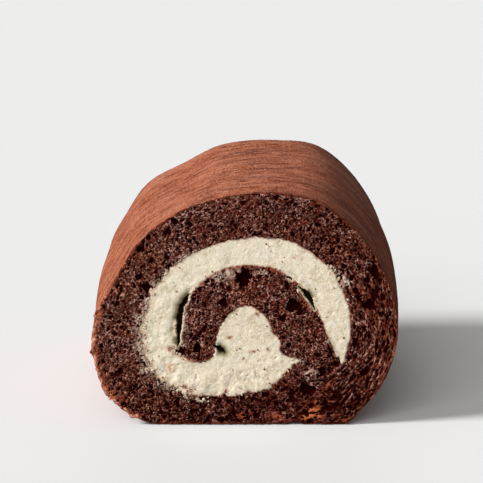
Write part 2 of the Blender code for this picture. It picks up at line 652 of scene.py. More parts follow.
@dataclass
class CutMap:
    """Which food lies at each place of a fine lattice over a cut face.

    Attributes:
        roll: The roll's form.
        seed: Which random unevenness the borders have.
        presses: Where cream presses into the crumb, or by a negative amount crumb into cream.
        cracks: The air gaps between cream and crumb.
        step: The lattice's spacing.
        skin_inset: How far inside the crust's surface the crumb stops.
        wedge_floor: Below this height the slit beside the cream's tip is closed by crumb.
        wedge_gap: How far apart cream and crumb stand where that slit is open.
        reach: How far the distances to each food are measured.
        x: The lattice's columns.
        z: The lattice's rows.
        sponge: Where crumb lies, as cream, pocket and wedge are for cream, air gaps and the slit.
        to_sponge: How far each place is from crumb, as to_cream and to_pocket are for those.
        skin_line: The line where the crumb meets the crust.
    """

    roll: RollForm
    seed: int
    presses: Spots
    cracks: tuple[Crack, ...]
    step: float = 0.25
    skin_inset: float = 0.3
    wedge_floor: float = 19.2
    wedge_gap: float = 2.6
    reach: float = 3.0
    x: Values = later()
    z: Values = later()
    sponge: Mask = later()
    cream: Mask = later()
    pocket: Mask = later()
    wedge: Mask = later()
    to_sponge: Values = later()
    to_cream: Values = later()
    to_pocket: Values = later()
    skin_line: Points = later()

    def __post_init__(self) -> None:
        """Lay the lattice and sort its places into foods."""
        skin = self.roll.skin
        self.skin_line = skin - line_normals(skin) * self.skin_inset
        self.skin_line[:, 1] = np.maximum(self.skin_line[:, 1], 0.05)
        low, high = skin.min(axis=0) - 1.0, skin.max(axis=0) + 1.0
        self.x = np.arange(low[0], high[0], self.step)
        self.z = np.arange(low[1], high[1], self.step)
        sponge = covered(np.vstack([self.skin_line, self.roll.fold[1:-1], self.roll.creamed]), self.x, self.z)
        cream = covered(self.roll.cream, self.x, self.z)
        air = covered(self.skin_line, self.x, self.z) & ~sponge & ~cream
        self._share_out(sponge, cream, air)

    def places(self) -> tuple[Values, Values]:
        """Return the lattice's coordinates, row by row."""
        grid_x, grid_z = np.meshgrid(self.x, self.z)
        return grid_x, grid_z

    def _share_out(self, sponge: Mask, cream: Mask, air: Mask) -> None:
        """Give each place its food, with borders as uneven as real ones.

        Args:
            sponge: Where the solid sponge lies.
            cream: Where the solid cream lies.
            air: Where neither lies inside the crust.
        """
        limit = 4.0
        to_sponge = distance_to(sponge, self.step, limit)
        to_cream = distance_to(cream, self.step, limit)
        x, z = self.places()
        ragged = (
            0.9 * lumps(self.seed, 2.6, x, z)
            + 0.9 * lumps(self.seed + 1, 1.1, x, z)
            + 0.45 * lumps(self.seed + 2, 0.5, x, z)
        )
        fuzzy = 0.26 + 1.05 * rising(-x, 14.0, 18.0) * falling(z, 52.0, 10.0)
        fuzzy += 0.7 * falling(z, 19.0, 6.0)
        fuzzy = np.minimum(fuzzy, 1.35)
        press = ragged * fuzzy
        for spot in self.presses:
            press += spot.amount * np.exp(-spot.reach(x, z) ** 2)
        seam = air & (to_cream > 1.0) & (x > 0.0) & (z < self.wedge_floor)
        self.wedge = air & ~seam & (to_sponge + to_cream >= self.wedge_gap) & (x > 20.0) & (z < 28.0)
        self.pocket = np.zeros_like(air)
        for crack in self.cracks:
            self.pocket |= crack.covers(x + 0.25 * lumps(self.seed + 3, 1.0, x, z), z)
        food = (sponge | cream | air) & ~self.pocket & ~self.wedge & ~seam
        beside = distance_to(self.pocket & (z > 27.0), self.step, 1.0)
        film = (beside < 0.40 + 0.25 * lumps(self.seed + 4, 2.0, x, z)) & (to_cream > to_sponge)
        self.cream = food & ((to_cream - to_sponge < press) | film)
        self.sponge = (food & ~self.cream) | seam
        foods = (self.sponge, self.cream, self.pocket)
        self.to_sponge, self.to_cream, self.to_pocket = (
            distance_to(region, self.step, self.reach) for region in foods
        )


@dataclass
class CutGrid:
    """A mesh of small square cells over one region of a cut face.

    Attributes:
        x: The lattice's columns.
        z: The lattice's rows.
        inside: True at the region's places.
        snap: A line that the border is moved on to where it is near.
        used: True at the places that carry a corner.
        square_x: Each corner's x on the lattice, as square_z is its z.
        nodes: The corners, with the border evened out.
        faces: The four corner numbers of each cell.
        rim: The two corner numbers of each edge of the border.
        inward: At corners laid on the line, which way leads inside.
    """

    x: Values
    z: Values
    inside: Mask
    snap: Points | None = None
    used: Mask = later()
    square_x: Values = later()
    square_z: Values = later()
    nodes: Points = later()
    faces: Numbers = later()
    rim: Numbers = later()
    inward: Points = later()

    def __post_init__(self) -> None:
        """Number the corners, gather the cells and even out the border."""
        inside = self.inside
        cells = inside[:-1, :-1] & inside[:-1, 1:] & inside[1:, :-1] & inside[1:, 1:]
        self.used = np.zeros_like(inside)
        for down in (0, 1):
            for right in (0, 1):
                self.used[down:len(self.z) - 1 + down, right:len(self.x) - 1 + right] |= cells
        number = np.cumsum(self.used.ravel()).reshape(self.used.shape) - 1
        rows, columns = np.nonzero(cells)
        self.faces = np.column_stack([
            number[rows, columns],
            number[rows, columns + 1],
            number[rows + 1, columns + 1],
            number[rows + 1, columns],
        ])
        self.square_x, self.square_z = (lattice[self.used] for lattice in np.meshgrid(self.x, self.z))
        self.nodes = np.column_stack([self.square_x, self.square_z])
        self.rim = self._rim()
        self._even_border()

    def _rim(self) -> Numbers:
        """Find the edges that only one cell uses.

        Returns:
            The two corner numbers of each, with the cell on their left.
        """
        count = len(self.nodes)
        edges = np.vstack([self.faces[:, [side, (side + 1) % 4]] for side in range(4)])
        code = edges[:, 0] * count + edges[:, 1]
        back = edges[:, 1] * count + edges[:, 0]
        return edges[~np.isin(code, back)]

    def _even_border(self) -> None:
        """Smooth the stepped border, and lay it on the line that it follows."""
        start, end = self.rim.T
        uses = np.bincount(self.rim.ravel(), minlength=len(self.nodes))[:, None]
        edge = uses[:, 0] > 0
        for _ in range(2):
            total = np.zeros_like(self.nodes)
            np.add.at(total, start, self.nodes[end])
            np.add.at(total, end, self.nodes[start])
            self.nodes[edge] = 0.5 * self.nodes[edge] + 0.5 * total[edge] / uses[edge]
        self.inward = np.zeros_like(self.nodes)
        if self.snap is not None:
            numbers = np.flatnonzero(edge)
            distance, nearest = nearest_points(self.nodes[numbers], self.snap)
            close = distance < 2.0 * (self.x[1] - self.x[0])
            self.nodes[numbers[close]] = self.snap[nearest[close]]
            self.inward[numbers[close]] = -line_normals(self.snap)[nearest[close]]


def relief_face(
    roll: RollForm, grid: CutGrid, depth: Values, side: Side, skirt: Sequence[float], values: dict[str, Values]
) -> MeshParts:
    """Return a cut face with relief, and a skirt that runs back into the roll from its rim.

    Args:
        roll: The roll's form.
        grid: The cells that cover the face.
        depth: How far each of the grid's corners lies behind the cut.
        side: Which cut face.
        skirt: How far behind the cut each row of the skirt lies.
        values: What varies over the face, a value for each corner.

    Returns:
        The mesh's parts.
    """
    front = side is Side.FRONT
    shift = roll.shift(grid.nodes)
    rim_nodes, rim_places = np.unique(grid.rim, return_inverse=True)
    rim_places = rim_places.reshape(grid.rim.shape)
    corners = [roll.placed(grid.nodes, roll.behind(depth, side), shift)]
    all_faces = (grid.faces if front else grid.faces[:, ::-1]).tolist()
    low = grid.nodes.min(axis=0)
    span = (grid.nodes.max(axis=0) - low).max() * 1.02
    chart = [(grid.nodes - low) / span + 0.01]
    middle = grid.nodes.mean(axis=0)
    near = rim_nodes
    count = len(grid.nodes)
    for level in skirt:
        points = grid.nodes[rim_nodes] + SKIRT_INSET * grid.inward[rim_nodes]
        deep = roll.behind(np.full(len(points), level), side)
        corners.append(roll.placed(points, deep, shift[rim_nodes]))
        outward = points - middle
        outward /= np.maximum(np.linalg.norm(outward, axis=1), 1e-6)[:, None]
        chart.append((points - low) / span + 0.01 + outward * 0.004)
        far = count + np.arange(len(rim_nodes))
        ring = side_faces(near, far, rim_places)
        all_faces += (ring if front else ring[:, ::-1]).tolist()
        near = far
        count += len(rim_nodes)
    merged = {}
    for key, given in values.items():
        behind = np.concatenate([given[rim_nodes]] * len(skirt))
        # The skirt is painted in full shade, as deep in a pore.
        if key == "pit_shade":
            behind[:] = SKIRT_SHADE
        merged[key] = np.concatenate([given, behind])
    places = np.clip(np.vstack(chart), 0.0, 1.0)
    return MeshParts(np.vstack(corners), all_faces, merged, places)


# ---- shader building ----


@dataclass
class Wiring:
    """Adds nodes to one node tree and links them."""

    tree: bpy.types.NodeTree

    def node(self, kind: str, inputs: dict[str | int, Any] | None = None, **settings: Any) -> Node:
        """Add a node.

        Args:
            kind: The node's type.
            inputs: A value or another node's output for each named or numbered input.
            **settings: The node's own settings.

        Returns:
            The node.
        """
        made = self.tree.nodes.new(kind)
        for key, value in settings.items():
            setattr(made, key, value)
        for key, value in (inputs or {}).items():
            if isinstance(value, Socket):
                self.tree.links.new(value, made.inputs[key])
            else:
                made.inputs[key].default_value = value
        return made

    def maths(self, operation: str, *terms: Any, clamp: bool = False) -> Socket:
        """Return the result of a sum on numbers or sockets."""
        inputs = dict(enumerate(terms))
        return self.node("ShaderNodeMath", inputs, operation=operation, use_clamp=clamp).outputs[0]

    def times(self, first: Any, second: Any, clamp: bool = False) -> Socket:
        """Return the product of two numbers or sockets."""
        return self.maths("MULTIPLY", first, second, clamp=clamp)

    def feed(self, shader: Node, name: str, value: Socket) -> None:
        """Let a value drive one of a shader's named inputs."""
        self.tree.links.new(value, shader.inputs[name])

    def ranged(self, value: Any, low: float, high: float, start: float = 0.0, end: float = 1.0) -> Socket:
        """Return a value mapped smoothly from one range to another and held inside it."""
        inputs = {"Value": value, "From Min": low, "From Max": high, "To Min": start, "To Max": end}
        return self.node("ShaderNodeMapRange", inputs, interpolation_type="SMOOTHSTEP").outputs[0]

    def blend(self, share: Any, first: Any, second: Any) -> Socket:
        """Return two colours blended by a share."""
        inputs = {0: share, 6: first, 7: second}
        return self.node("ShaderNodeMix", inputs, data_type="RGBA").outputs[2]

    def laid(self, colour: Any, over: Any, value: Any, low: float, high: float, most: float = 1.0) -> Socket:
        """Return a colour with another over it, up to a share, as a value goes from low to high."""
        return self.blend(self.ranged(value, low, high, 0.0, most), colour, over)

    def moved(self, operation: str, places: Any, amount: Any) -> Socket:
        """Return places stretched or moved by an amount in each direction."""
        return self.node("ShaderNodeVectorMath", {0: places, 1: amount}, operation=operation).outputs[0]

    def value_of(self, name: str, output: str = "Fac") -> Socket:
        """Return what the mesh holds under a name for each corner, a number or a Vector."""
        return self.node("ShaderNodeAttribute", attribute_name=name).outputs[output]

    def noise(self, places: Any, scale: Any, detail: float, rough: float = 0.5) -> Socket:
        """Return a noise between 0 and 1."""
        inputs = {"Vector": places, "Scale": scale, "Detail": detail, "Roughness": rough}
        return self.node("ShaderNodeTexNoise", inputs).outputs["Fac"]

    def mottled(self, places: Any, colours: Sequence[Colour], patch: float, grain: float) -> Socket:
        """Return a main colour with darker patches and lighter grain.

        Args:
            places: Where each point of the surface lies.
            colours: The main, the darker and the lighter colour.
            patch: The patches' scale.
            grain: The grain's scale.

        Returns:
            The mottled colour.
        """
        inputs = {"Vector": places, **dict(zip(("Colour", "Darker", "Lighter"), colours))}
        inputs.update({"Patch Scale": patch, "Grain Scale": grain})
        return self.node("ShaderNodeGroup", inputs, node_tree=mottle_group()).outputs["Colour"]

    def fine_height(self, places: Any, scale: float, fineness: float) -> Socket:
        """Return the height of fine grain."""
        inputs = {"Vector": places, "Scale": scale, "Fineness": fineness}
        return self.node("ShaderNodeGroup", inputs, node_tree=fine_relief_group()).outputs["Height"]

    def roughen(self, shader: Node, height: Any, strength: float, distance: float) -> None:
        """Bend a shader's normal by a height, where distance is the grain's depth in metres."""
        inputs = {"Strength": strength, "Distance": distance, "Height": height}
        self.feed(shader, "Normal", self.node("ShaderNodeBump", inputs).outputs["Normal"])


def started_group(name: str, inputs: dict[str, str], outputs: dict[str, str]) -> Wiring:
    """Return the wiring of a new shader node group with its sockets in place.

    Args:
        name: The group's name.
        inputs: The kind of each named input: Vector, Color or Float.
        outputs: The kind of each named output.

    Returns:
        The wiring.
    """
    tree = bpy.data.node_groups.new(name, "ShaderNodeTree")
    for way, sockets in (("INPUT", inputs), ("OUTPUT", outputs)):
        for label, kind in sockets.items():
            tree.interface.new_socket(name=label, in_out=way, socket_type="NodeSocket" + kind)
    return Wiring(tree)


def mottle_group() -> bpy.types.NodeTree:
    """Return the shared group that lays darker patches and lighter grain over a colour: uneven tone on the
    crumb, painted shade and highlights on the cream.

    Returns:
        A group with the inputs Vector, Colour, Darker, Lighter, Patch Scale and Grain Scale, and
        the output Colour.
    """
    name = "food mottle"
    if name in bpy.data.node_groups:
        return bpy.data.node_groups[name]
    colours = {"Colour": "Color", "Darker": "Color", "Lighter": "Color"}
    inputs = {"Vector": "Vector", **colours, "Patch Scale": "Float", "Grain Scale": "Float"}
    wiring = started_group(name, inputs, {"Colour": "Color"})
    given = wiring.node("NodeGroupInput").outputs
    patches = wiring.noise(given["Vector"], given["Patch Scale"], 3.0, 0.6)
    grain = wiring.noise(given["Vector"], given["Grain Scale"], 2.0, 0.7)
    colour = wiring.blend(wiring.ranged(patches, 0.53, 0.38), given["Colour"], given["Darker"])
    colour = wiring.blend(wiring.ranged(grain, 0.50, 0.64), colour, given["Lighter"])
    wiring.node("NodeGroupOutput", {"Colour": colour})
    return wiring.tree


def fine_relief_group() -> bpy.types.NodeTree:
    """Return the shared group that gives the height of fine grain.

    Returns:
        A group with the inputs Vector, Scale and Fineness, and the output Height.
    """
    name = "fine grain relief"
    if name in bpy.data.node_groups:
        return bpy.data.node_groups[name]
    inputs = {"Vector": "Vector", "Scale": "Float", "Fineness": "Float"}
    wiring = started_group(name, inputs, {"Height": "Float"})
    given = wiring.node("NodeGroupInput").outputs
    broad = wiring.noise(given["Vector"], given["Scale"], 3.0, 0.6)
    fine_scale = wiring.times(given["Scale"], given["Fineness"])
    fine = wiring.noise(given["Vector"], fine_scale, 1.0)
    height = wiring.maths("ADD", wiring.times(broad, 0.7), wiring.times(fine, 0.3))
    wiring.node("NodeGroupOutput", {"Height": height})
    return wiring.tree


def shaded(colour: Colour, share: float) -> Colour:
    """Return a colour made darker or lighter by a share."""
    return tuple(part * share for part in colour[:3]) + (1.0,)


def started_material(name: str) -> tuple[Material, Wiring, Node]:
    """Start a material.

    Args:
        name: The material's name.

    Returns:
        The material, its wiring and its Principled shader.
    """
    material = bpy.data.materials.new(name)
    material.use_nodes = True
    return material, Wiring(material.node_tree), material.node_tree.nodes["Principled BSDF"]


@dataclass(frozen=True)
class CrumbFinish:
    """Open chocolate crumb: membranes with painted highlights on their edges, round pores with painted shade.

    Attributes:
        ridge_highlight: The painted highlight on the membranes' edges.
        warm_ridge_highlight: The same painted highlight, warmer, where the crumb is less moist.
        wall: The colour part of the way into a pore.
        hollow_shade: The painted shade deep in a pore.
        baked: The colour next to the crust.
        toasted: The brightest orange-brown of the patches on the underside.
        smear_and_light: The colour of cream rubbed over the crumb, also laid as painted light on the crumb
            high on the first turn.
        roughness: The crumb's roughness.
        bend: How far the finest pores are bent out of shape, in metres.
    """

    ridge_highlight: Colour = (0.50, 0.285, 0.230, 1.0)
    warm_ridge_highlight: Colour = (0.46, 0.205, 0.125, 1.0)
    wall: Colour = (0.100, 0.021, 0.0115, 1.0)
    hollow_shade: Colour = (0.018, 0.0008, 0.0002, 1.0)
    baked: Colour = (0.27, 0.058, 0.029, 1.0)
    toasted: Colour = (0.56, 0.165, 0.055, 1.0)
    smear_and_light: Colour = (0.62, 0.47, 0.37, 1.0)
    roughness: float = 0.78
    bend: float = 0.0009

    def made(self) -> Material:
        """Make the material.

        Returns:
            The material.
        """
        material, wiring, shader = started_material("chocolate crumb")
        places = wiring.value_of("crumb_place", "Vector")
        walling = [shaded(self.wall, share) for share in (1.0, 0.55, 2.2)]
        colour = wiring.mottled(places, walling, 110.0, 1100.0)
        pit_shade = wiring.value_of("pit_shade")
        swirl = {"Vector": places, "Scale": 900.0, "Detail": 1.0}
        bend = wiring.node("ShaderNodeTexNoise", swirl).outputs["Color"]
        bend = wiring.moved("MULTIPLY", bend, (self.bend,) * 3)
        pores = {"Vector": wiring.moved("ADD", places, bend), "Scale": 1050.0}
        walls = wiring.node("ShaderNodeTexVoronoi", pores, feature="DISTANCE_TO_EDGE").outputs["Distance"]
        glint = wiring.noise(places, 900.0, 3.0, 0.7)
        patch = wiring.noise(places, 190.0, 2.0, 0.6)
        warmth = wiring.noise(places, 75.0, 2.0, 0.6)
        grit = wiring.noise(places, 1700.0, 1.0, 0.6)
        # Painted shade: the middles of the pores and fine specks darken towards hollow_shade.
        colour = wiring.laid(colour, self.hollow_shade, walls, 0.12, 0.30, 0.85)
        colour = wiring.laid(colour, self.hollow_shade, grit, 0.50, 0.38, 0.6)
        # Painted highlights on the membranes' edges, scaled by the mesh's lit value.
        edge = wiring.times(wiring.ranged(walls, 0.24, 0.06), wiring.ranged(glint, 0.48, 0.57))
        edge = wiring.times(edge, wiring.ranged(grit, 0.44, 0.56, 0.45, 1.2))
        edge = wiring.times(edge, wiring.ranged(patch, 0.36, 0.60, 0.35, 1.0))
        edge = wiring.times(edge, wiring.value_of("lit"), clamp=True)
        ridge_highlight = wiring.blend(wiring.ranged(warmth, 0.47, 0.66), self.ridge_highlight, self.warm_ridge_highlight)
        colour = wiring.blend(edge, colour, ridge_highlight)
        browned = wiring.value_of("browned")
        colour = wiring.laid(colour, self.baked, browned, 0.1, 0.6, 0.75)
        colour = wiring.laid(colour, self.toasted, browned, 0.55, 1.1, 0.8)
        # Cream rubbed over the crumb, and painted light high on the first turn, both in the smear_and_light
        # colour.
        creamed = wiring.value_of("creamed")
        shallow = wiring.ranged(pit_shade, 0.75, 0.22)
        cover = wiring.times(wiring.ranged(creamed, 0.05, 0.75), shallow, clamp=True)
        colour = wiring.blend(cover, colour, self.smear_and_light)
        # Painted shade by pit_shade: deep in the pores, and low down and on the right of the cut.
        colour = wiring.laid(colour, self.hollow_shade, pit_shade, 0.38, 0.95)
        wiring.feed(shader, "Base Color", colour)
        shader.inputs["Roughness"].default_value = self.roughness
        shader.inputs["Specular IOR Level"].default_value = 0.02
        wiring.roughen(shader, wiring.fine_height(places, 1300.0, 3.0), 0.7, 0.0003)
        return material


@dataclass(frozen=True)
class CrustFinish:
    """Soft matt red-brown skin with fine streaks that run round the roll.

    Attributes:
        skin: The main colour.
        dark: The colour of darker streaks.
        pale: The colour of dusty, pinker stretches.
        crease_shade: The painted shade in small creases, laid as dark dashes.
        cut: The colour of the skin where the knife went through it.
        rim_highlight: The painted pinkish highlights on its torn rim, low on the left.
        roughness: The skin's roughness.
    """

    skin: Colour = (0.46, 0.128, 0.053, 1.0)
    dark: Colour = (0.18, 0.034, 0.012, 1.0)
    pale: Colour = (0.60, 0.225, 0.130, 1.0)
    crease_shade: Colour = (0.075, 0.018, 0.011, 1.0)
    cut: Colour = (0.115, 0.024, 0.011, 1.0)
    rim_highlight: Colour = (0.72, 0.34, 0.24, 1.0)
    roughness: float = 0.82

    def made(self) -> Material:
        """Make the material.

        Returns:
            The material.
        """
        material, wiring, shader = started_material("baked chocolate skin")
        sheet = wiring.value_of("sheet_place", "Vector")
        streaked, lined, brushed, drawn = (
            wiring.moved("MULTIPLY", sheet, stretch)
            for stretch in ((0.62, 1.0, 1.0), (0.22, 1.0, 1.0), (1.0, 0.27, 1.0), (1.0, 0.13, 1.0))
        )
        lines = wiring.noise(lined, 120.0, 4.0, 0.7)
        bands = wiring.noise(lined, 48.0, 3.0, 0.75)
        grit = wiring.noise(drawn, 1400.0, 2.0, 0.75)
        broad = wiring.noise(streaked, 85.0, 3.0, 0.6)
        fine = wiring.noise(streaked, 210.0, 4.0, 0.75)
        patch = wiring.noise(sheet, 34.0, 3.0, 0.6)
        grain = wiring.noise(brushed, 950.0, 3.0, 0.8)
        # Painted shade on the right side of the roll: darker skin, less pale dust and darker bands.
        right_side_shade = wiring.value_of("right_side_shade")
        dusty = wiring.maths("SUBTRACT", 1.0, wiring.times(right_side_shade, 0.7))
        colour = wiring.blend(wiring.times(right_side_shade, 0.30), self.skin, self.dark)
        colour = wiring.laid(colour, self.dark, broad, 0.52, 0.38, 0.5)
        darks = ((fine, 0.51, 0.38, 0.95), (lines, 0.50, 0.41, 0.75), (grit, 0.46, 0.38, 0.3))
        for value, low, high, most in darks:
            colour = wiring.laid(colour, self.dark, value, low, high, most)
        banded = wiring.times(right_side_shade, wiring.ranged(bands, 0.50, 0.42, 0.0, 0.6))
        colour = wiring.blend(banded, colour, self.dark)
        banded = wiring.times(right_side_shade, wiring.ranged(bands, 0.53, 0.62, 0.0, 0.45))
        colour = wiring.blend(banded, colour, self.pale)
        pales = (
            (fine, 0.50, 0.61, 0.95),
            (patch, 0.48, 0.66, 0.65),
            (lines, 0.53, 0.62, 0.4),
            (grain, 0.53, 0.64, 0.65),
            (grit, 0.53, 0.62, 0.3),
        )
        for value, low, high, most in pales:
            share = wiring.times(wiring.ranged(value, low, high, 0.0, most), dusty)
            colour = wiring.blend(share, colour, self.pale)
        colour = wiring.laid(colour, self.dark, grain, 0.48, 0.38, 0.75)
        # Painted shade in small creases, as dark dashes.
        dashes = wiring.noise(streaked, 190.0, 1.0, 0.5)
        colour = wiring.laid(colour, self.crease_shade, dashes, 0.30, 0.235, 0.75)
        speckle = wiring.noise(sheet, 900.0, 2.0, 0.7)
        lip = wiring.value_of("lip")
        sandy = wiring.ranged(grit, 0.50, 0.42, 0.0, 0.8)
        sandy = wiring.times(wiring.ranged(lip, 0.02, 0.5), sandy)
        colour = wiring.blend(sandy, colour, self.dark)
        ragged = wiring.maths("MULTIPLY_ADD", wiring.noise(sheet, 380.0, 3.0, 0.7), 3.0, lip)
        colour = wiring.laid(colour, self.cut, ragged, 2.18, 2.45, 0.92)
        # Painted highlights: pinkish specks on the torn rim, low on the left.
        rim_glints = wiring.times(wiring.value_of("rim"), wiring.ranged(speckle, 0.47, 0.60))
        colour = wiring.blend(rim_glints, colour, self.rim_highlight)
        wiring.feed(shader, "Base Color", colour)
        rough = wiring.ranged(broad, 0.3, 0.7, self.roughness - 0.08, self.roughness + 0.08)
        wiring.feed(shader, "Roughness", rough)
        shader.inputs["Specular IOR Level"].default_value = 0.05
        grain_height = wiring.times(grain, 0.9)
        height = wiring.maths("ADD", wiring.fine_height(streaked, 420.0, 3.4), grain_height)
        wiring.roughen(shader, height, 0.8, 0.0012)
        return material


@dataclass(frozen=True)
class CreamFinish:
    """Pale whipped cream, a little uneven and flecked with crumb.

    Attributes:
        cream: The main colour.
        shade: The painted shade of its hollows, a slightly greener, darker tone.
        light: The painted highlight, its brightest tone.
        stain: The orange-brown that crumb leaves in it.
        fleck: The colour of crumbs sunk in it.
        gap_shade: The painted olive shade where it curves into its air gaps.
        shadow: The tone deep in those gaps.
        roughness: The cream's roughness.
    """

    cream: Colour = (0.83, 0.73, 0.56, 1.0)
    shade: Colour = (0.71, 0.615, 0.44, 1.0)
    light: Colour = (0.91, 0.83, 0.68, 1.0)
    stain: Colour = (0.46, 0.25, 0.15, 1.0)
    fleck: Colour = (0.22, 0.09, 0.05, 1.0)
    gap_shade: Colour = (0.26, 0.225, 0.115, 1.0)
    shadow: Colour = (0.010, 0.005, 0.001, 1.0)
    roughness: float = 0.6

    def made(self) -> Material:
        """Make the material.

        Returns:
            The material.
        """
        material, wiring, shader = started_material("whipped cream")
        places = wiring.node("ShaderNodeTexCoord").outputs["Object"]
        # Painted shade and highlights: darker patches and lighter grain laid over the cream at random.
        colour = wiring.mottled(places, (self.cream, self.shade, self.light), 260.0, 1100.0)
        stained = wiring.value_of("stained")
        colour = wiring.laid(colour, self.stain, stained, 0.05, 0.7, 0.75)
        colour = wiring.laid(colour, self.fleck, stained, 0.7, 1.0, 0.85)
        # Painted shade: the cream turns olive and then near black in and beside its air gaps.
        hollow_shade = wiring.value_of("hollow_shade")
        colour = wiring.laid(colour, self.gap_shade, hollow_shade, 0.0, 0.6)
        colour = wiring.laid(colour, self.shadow, hollow_shade, 0.45, 0.9)
        wiring.feed(shader, "Base Color", colour)
        rough = wiring.ranged(hollow_shade, 0.3, 0.9, self.roughness, 1.0)
        wiring.feed(shader, "Roughness", rough)
        shader.inputs["Specular IOR Level"].default_value = 0.12
        shader.inputs["Subsurface Weight"].default_value = 0.12
        shader.inputs["Subsurface Radius"].default_value = (1.0, 0.8, 0.5)
        shader.inputs["Subsurface Scale"].default_value = 0.001
        wiring.roughen(shader, wiring.fine_height(places, 700.0, 3.0), 0.6, 0.0005)
        return material


# ---- the crumb ----


@dataclass(frozen=True)
class Foam:
    """Bubbles packed against each other and cut open by the knife.

    Attributes:
        seed: Which bubbles.
        size: The usual width of a bubble.
        wall: How thick the membrane between two bubbles is.
        shallow: The least depth of an open bubble.
        deep: The greatest depth.
        open_share: How many of the bubbles are cut open.
    """

    seed: int
    size: float
    wall: float
    shallow: float
    deep: float
    open_share: float = 1.0

    def depth(self, x: Values, z: Values) -> Values:
        """Return how deep the cut bubbles are at places.

        Args:
            x: Their first coordinates.
            z: Their second coordinates.

        Returns:
            The depth at each place, nothing on the membranes.
        """
        draw = np.random.default_rng(self.seed)
        count = FOAM_CELLS
        right, up, bubble = (draw.uniform(0.0, 1.0, (count, count)) for _ in range(3))
        bend = 0.45 * self.size
        u = (x + bend * lumps(self.seed + 1, 1.7 * self.size, x, z)) / self.size
        v = (z + bend * lumps(self.seed + 2, 1.7 * self.size, x, z)) / self.size
        column, row = np.floor(u).astype(int), np.floor(v).astype(int)
        first, second = np.full(x.shape, 9.0), np.full(x.shape, 9.0)
        chosen = np.zeros(x.shape)
        for across in (-1, 0, 1):
            for down in (-1, 0, 1):
                i, j = (column + across) % count, (row + down) % count
                gap = np.hypot(column + across + right[i, j] - u, row + down + up[i, j] - v)
                nearer = gap < first
                second = np.where(nearer, first, np.minimum(second, gap))
                chosen = np.where(nearer, bubble[i, j], chosen)
                first = np.where(nearer, gap, first)
        inward = np.clip(((second - first) * self.size - self.wall) / (0.45 * self.size), 0.0, 1.0)
        opened = chosen < self.open_share
        share = np.clip(chosen / self.open_share, 0.0, 1.0)
        return opened * (self.shallow + (self.deep - self.shallow) * share ** 1.5) * inward ** 0.6


def hole_depth(holes: Spots, x: Values, z: Values, seed: int) -> Values:
    """Return how deep large air holes with uneven edges are at places.

    Args:
        holes: The holes.
        x: Their first coordinates.
        z: Their second coordinates.
        seed: Which unevenness.

    Returns:
        The depth at each place.
    """
    uneven = lumps(seed, 1.3, x, z) + 0.6 * lumps(seed + 1, 0.55, x, z)
    depth = np.zeros_like(x)
    for hole in holes:
        reach = hole.reach(x, z) * (1.0 + HOLE_RAGGEDNESS * uneven)
        depth = np.maximum(depth, hole.amount * np.clip(1.0 - reach ** 2, 0.0, 1.0) ** 0.4)
    return depth


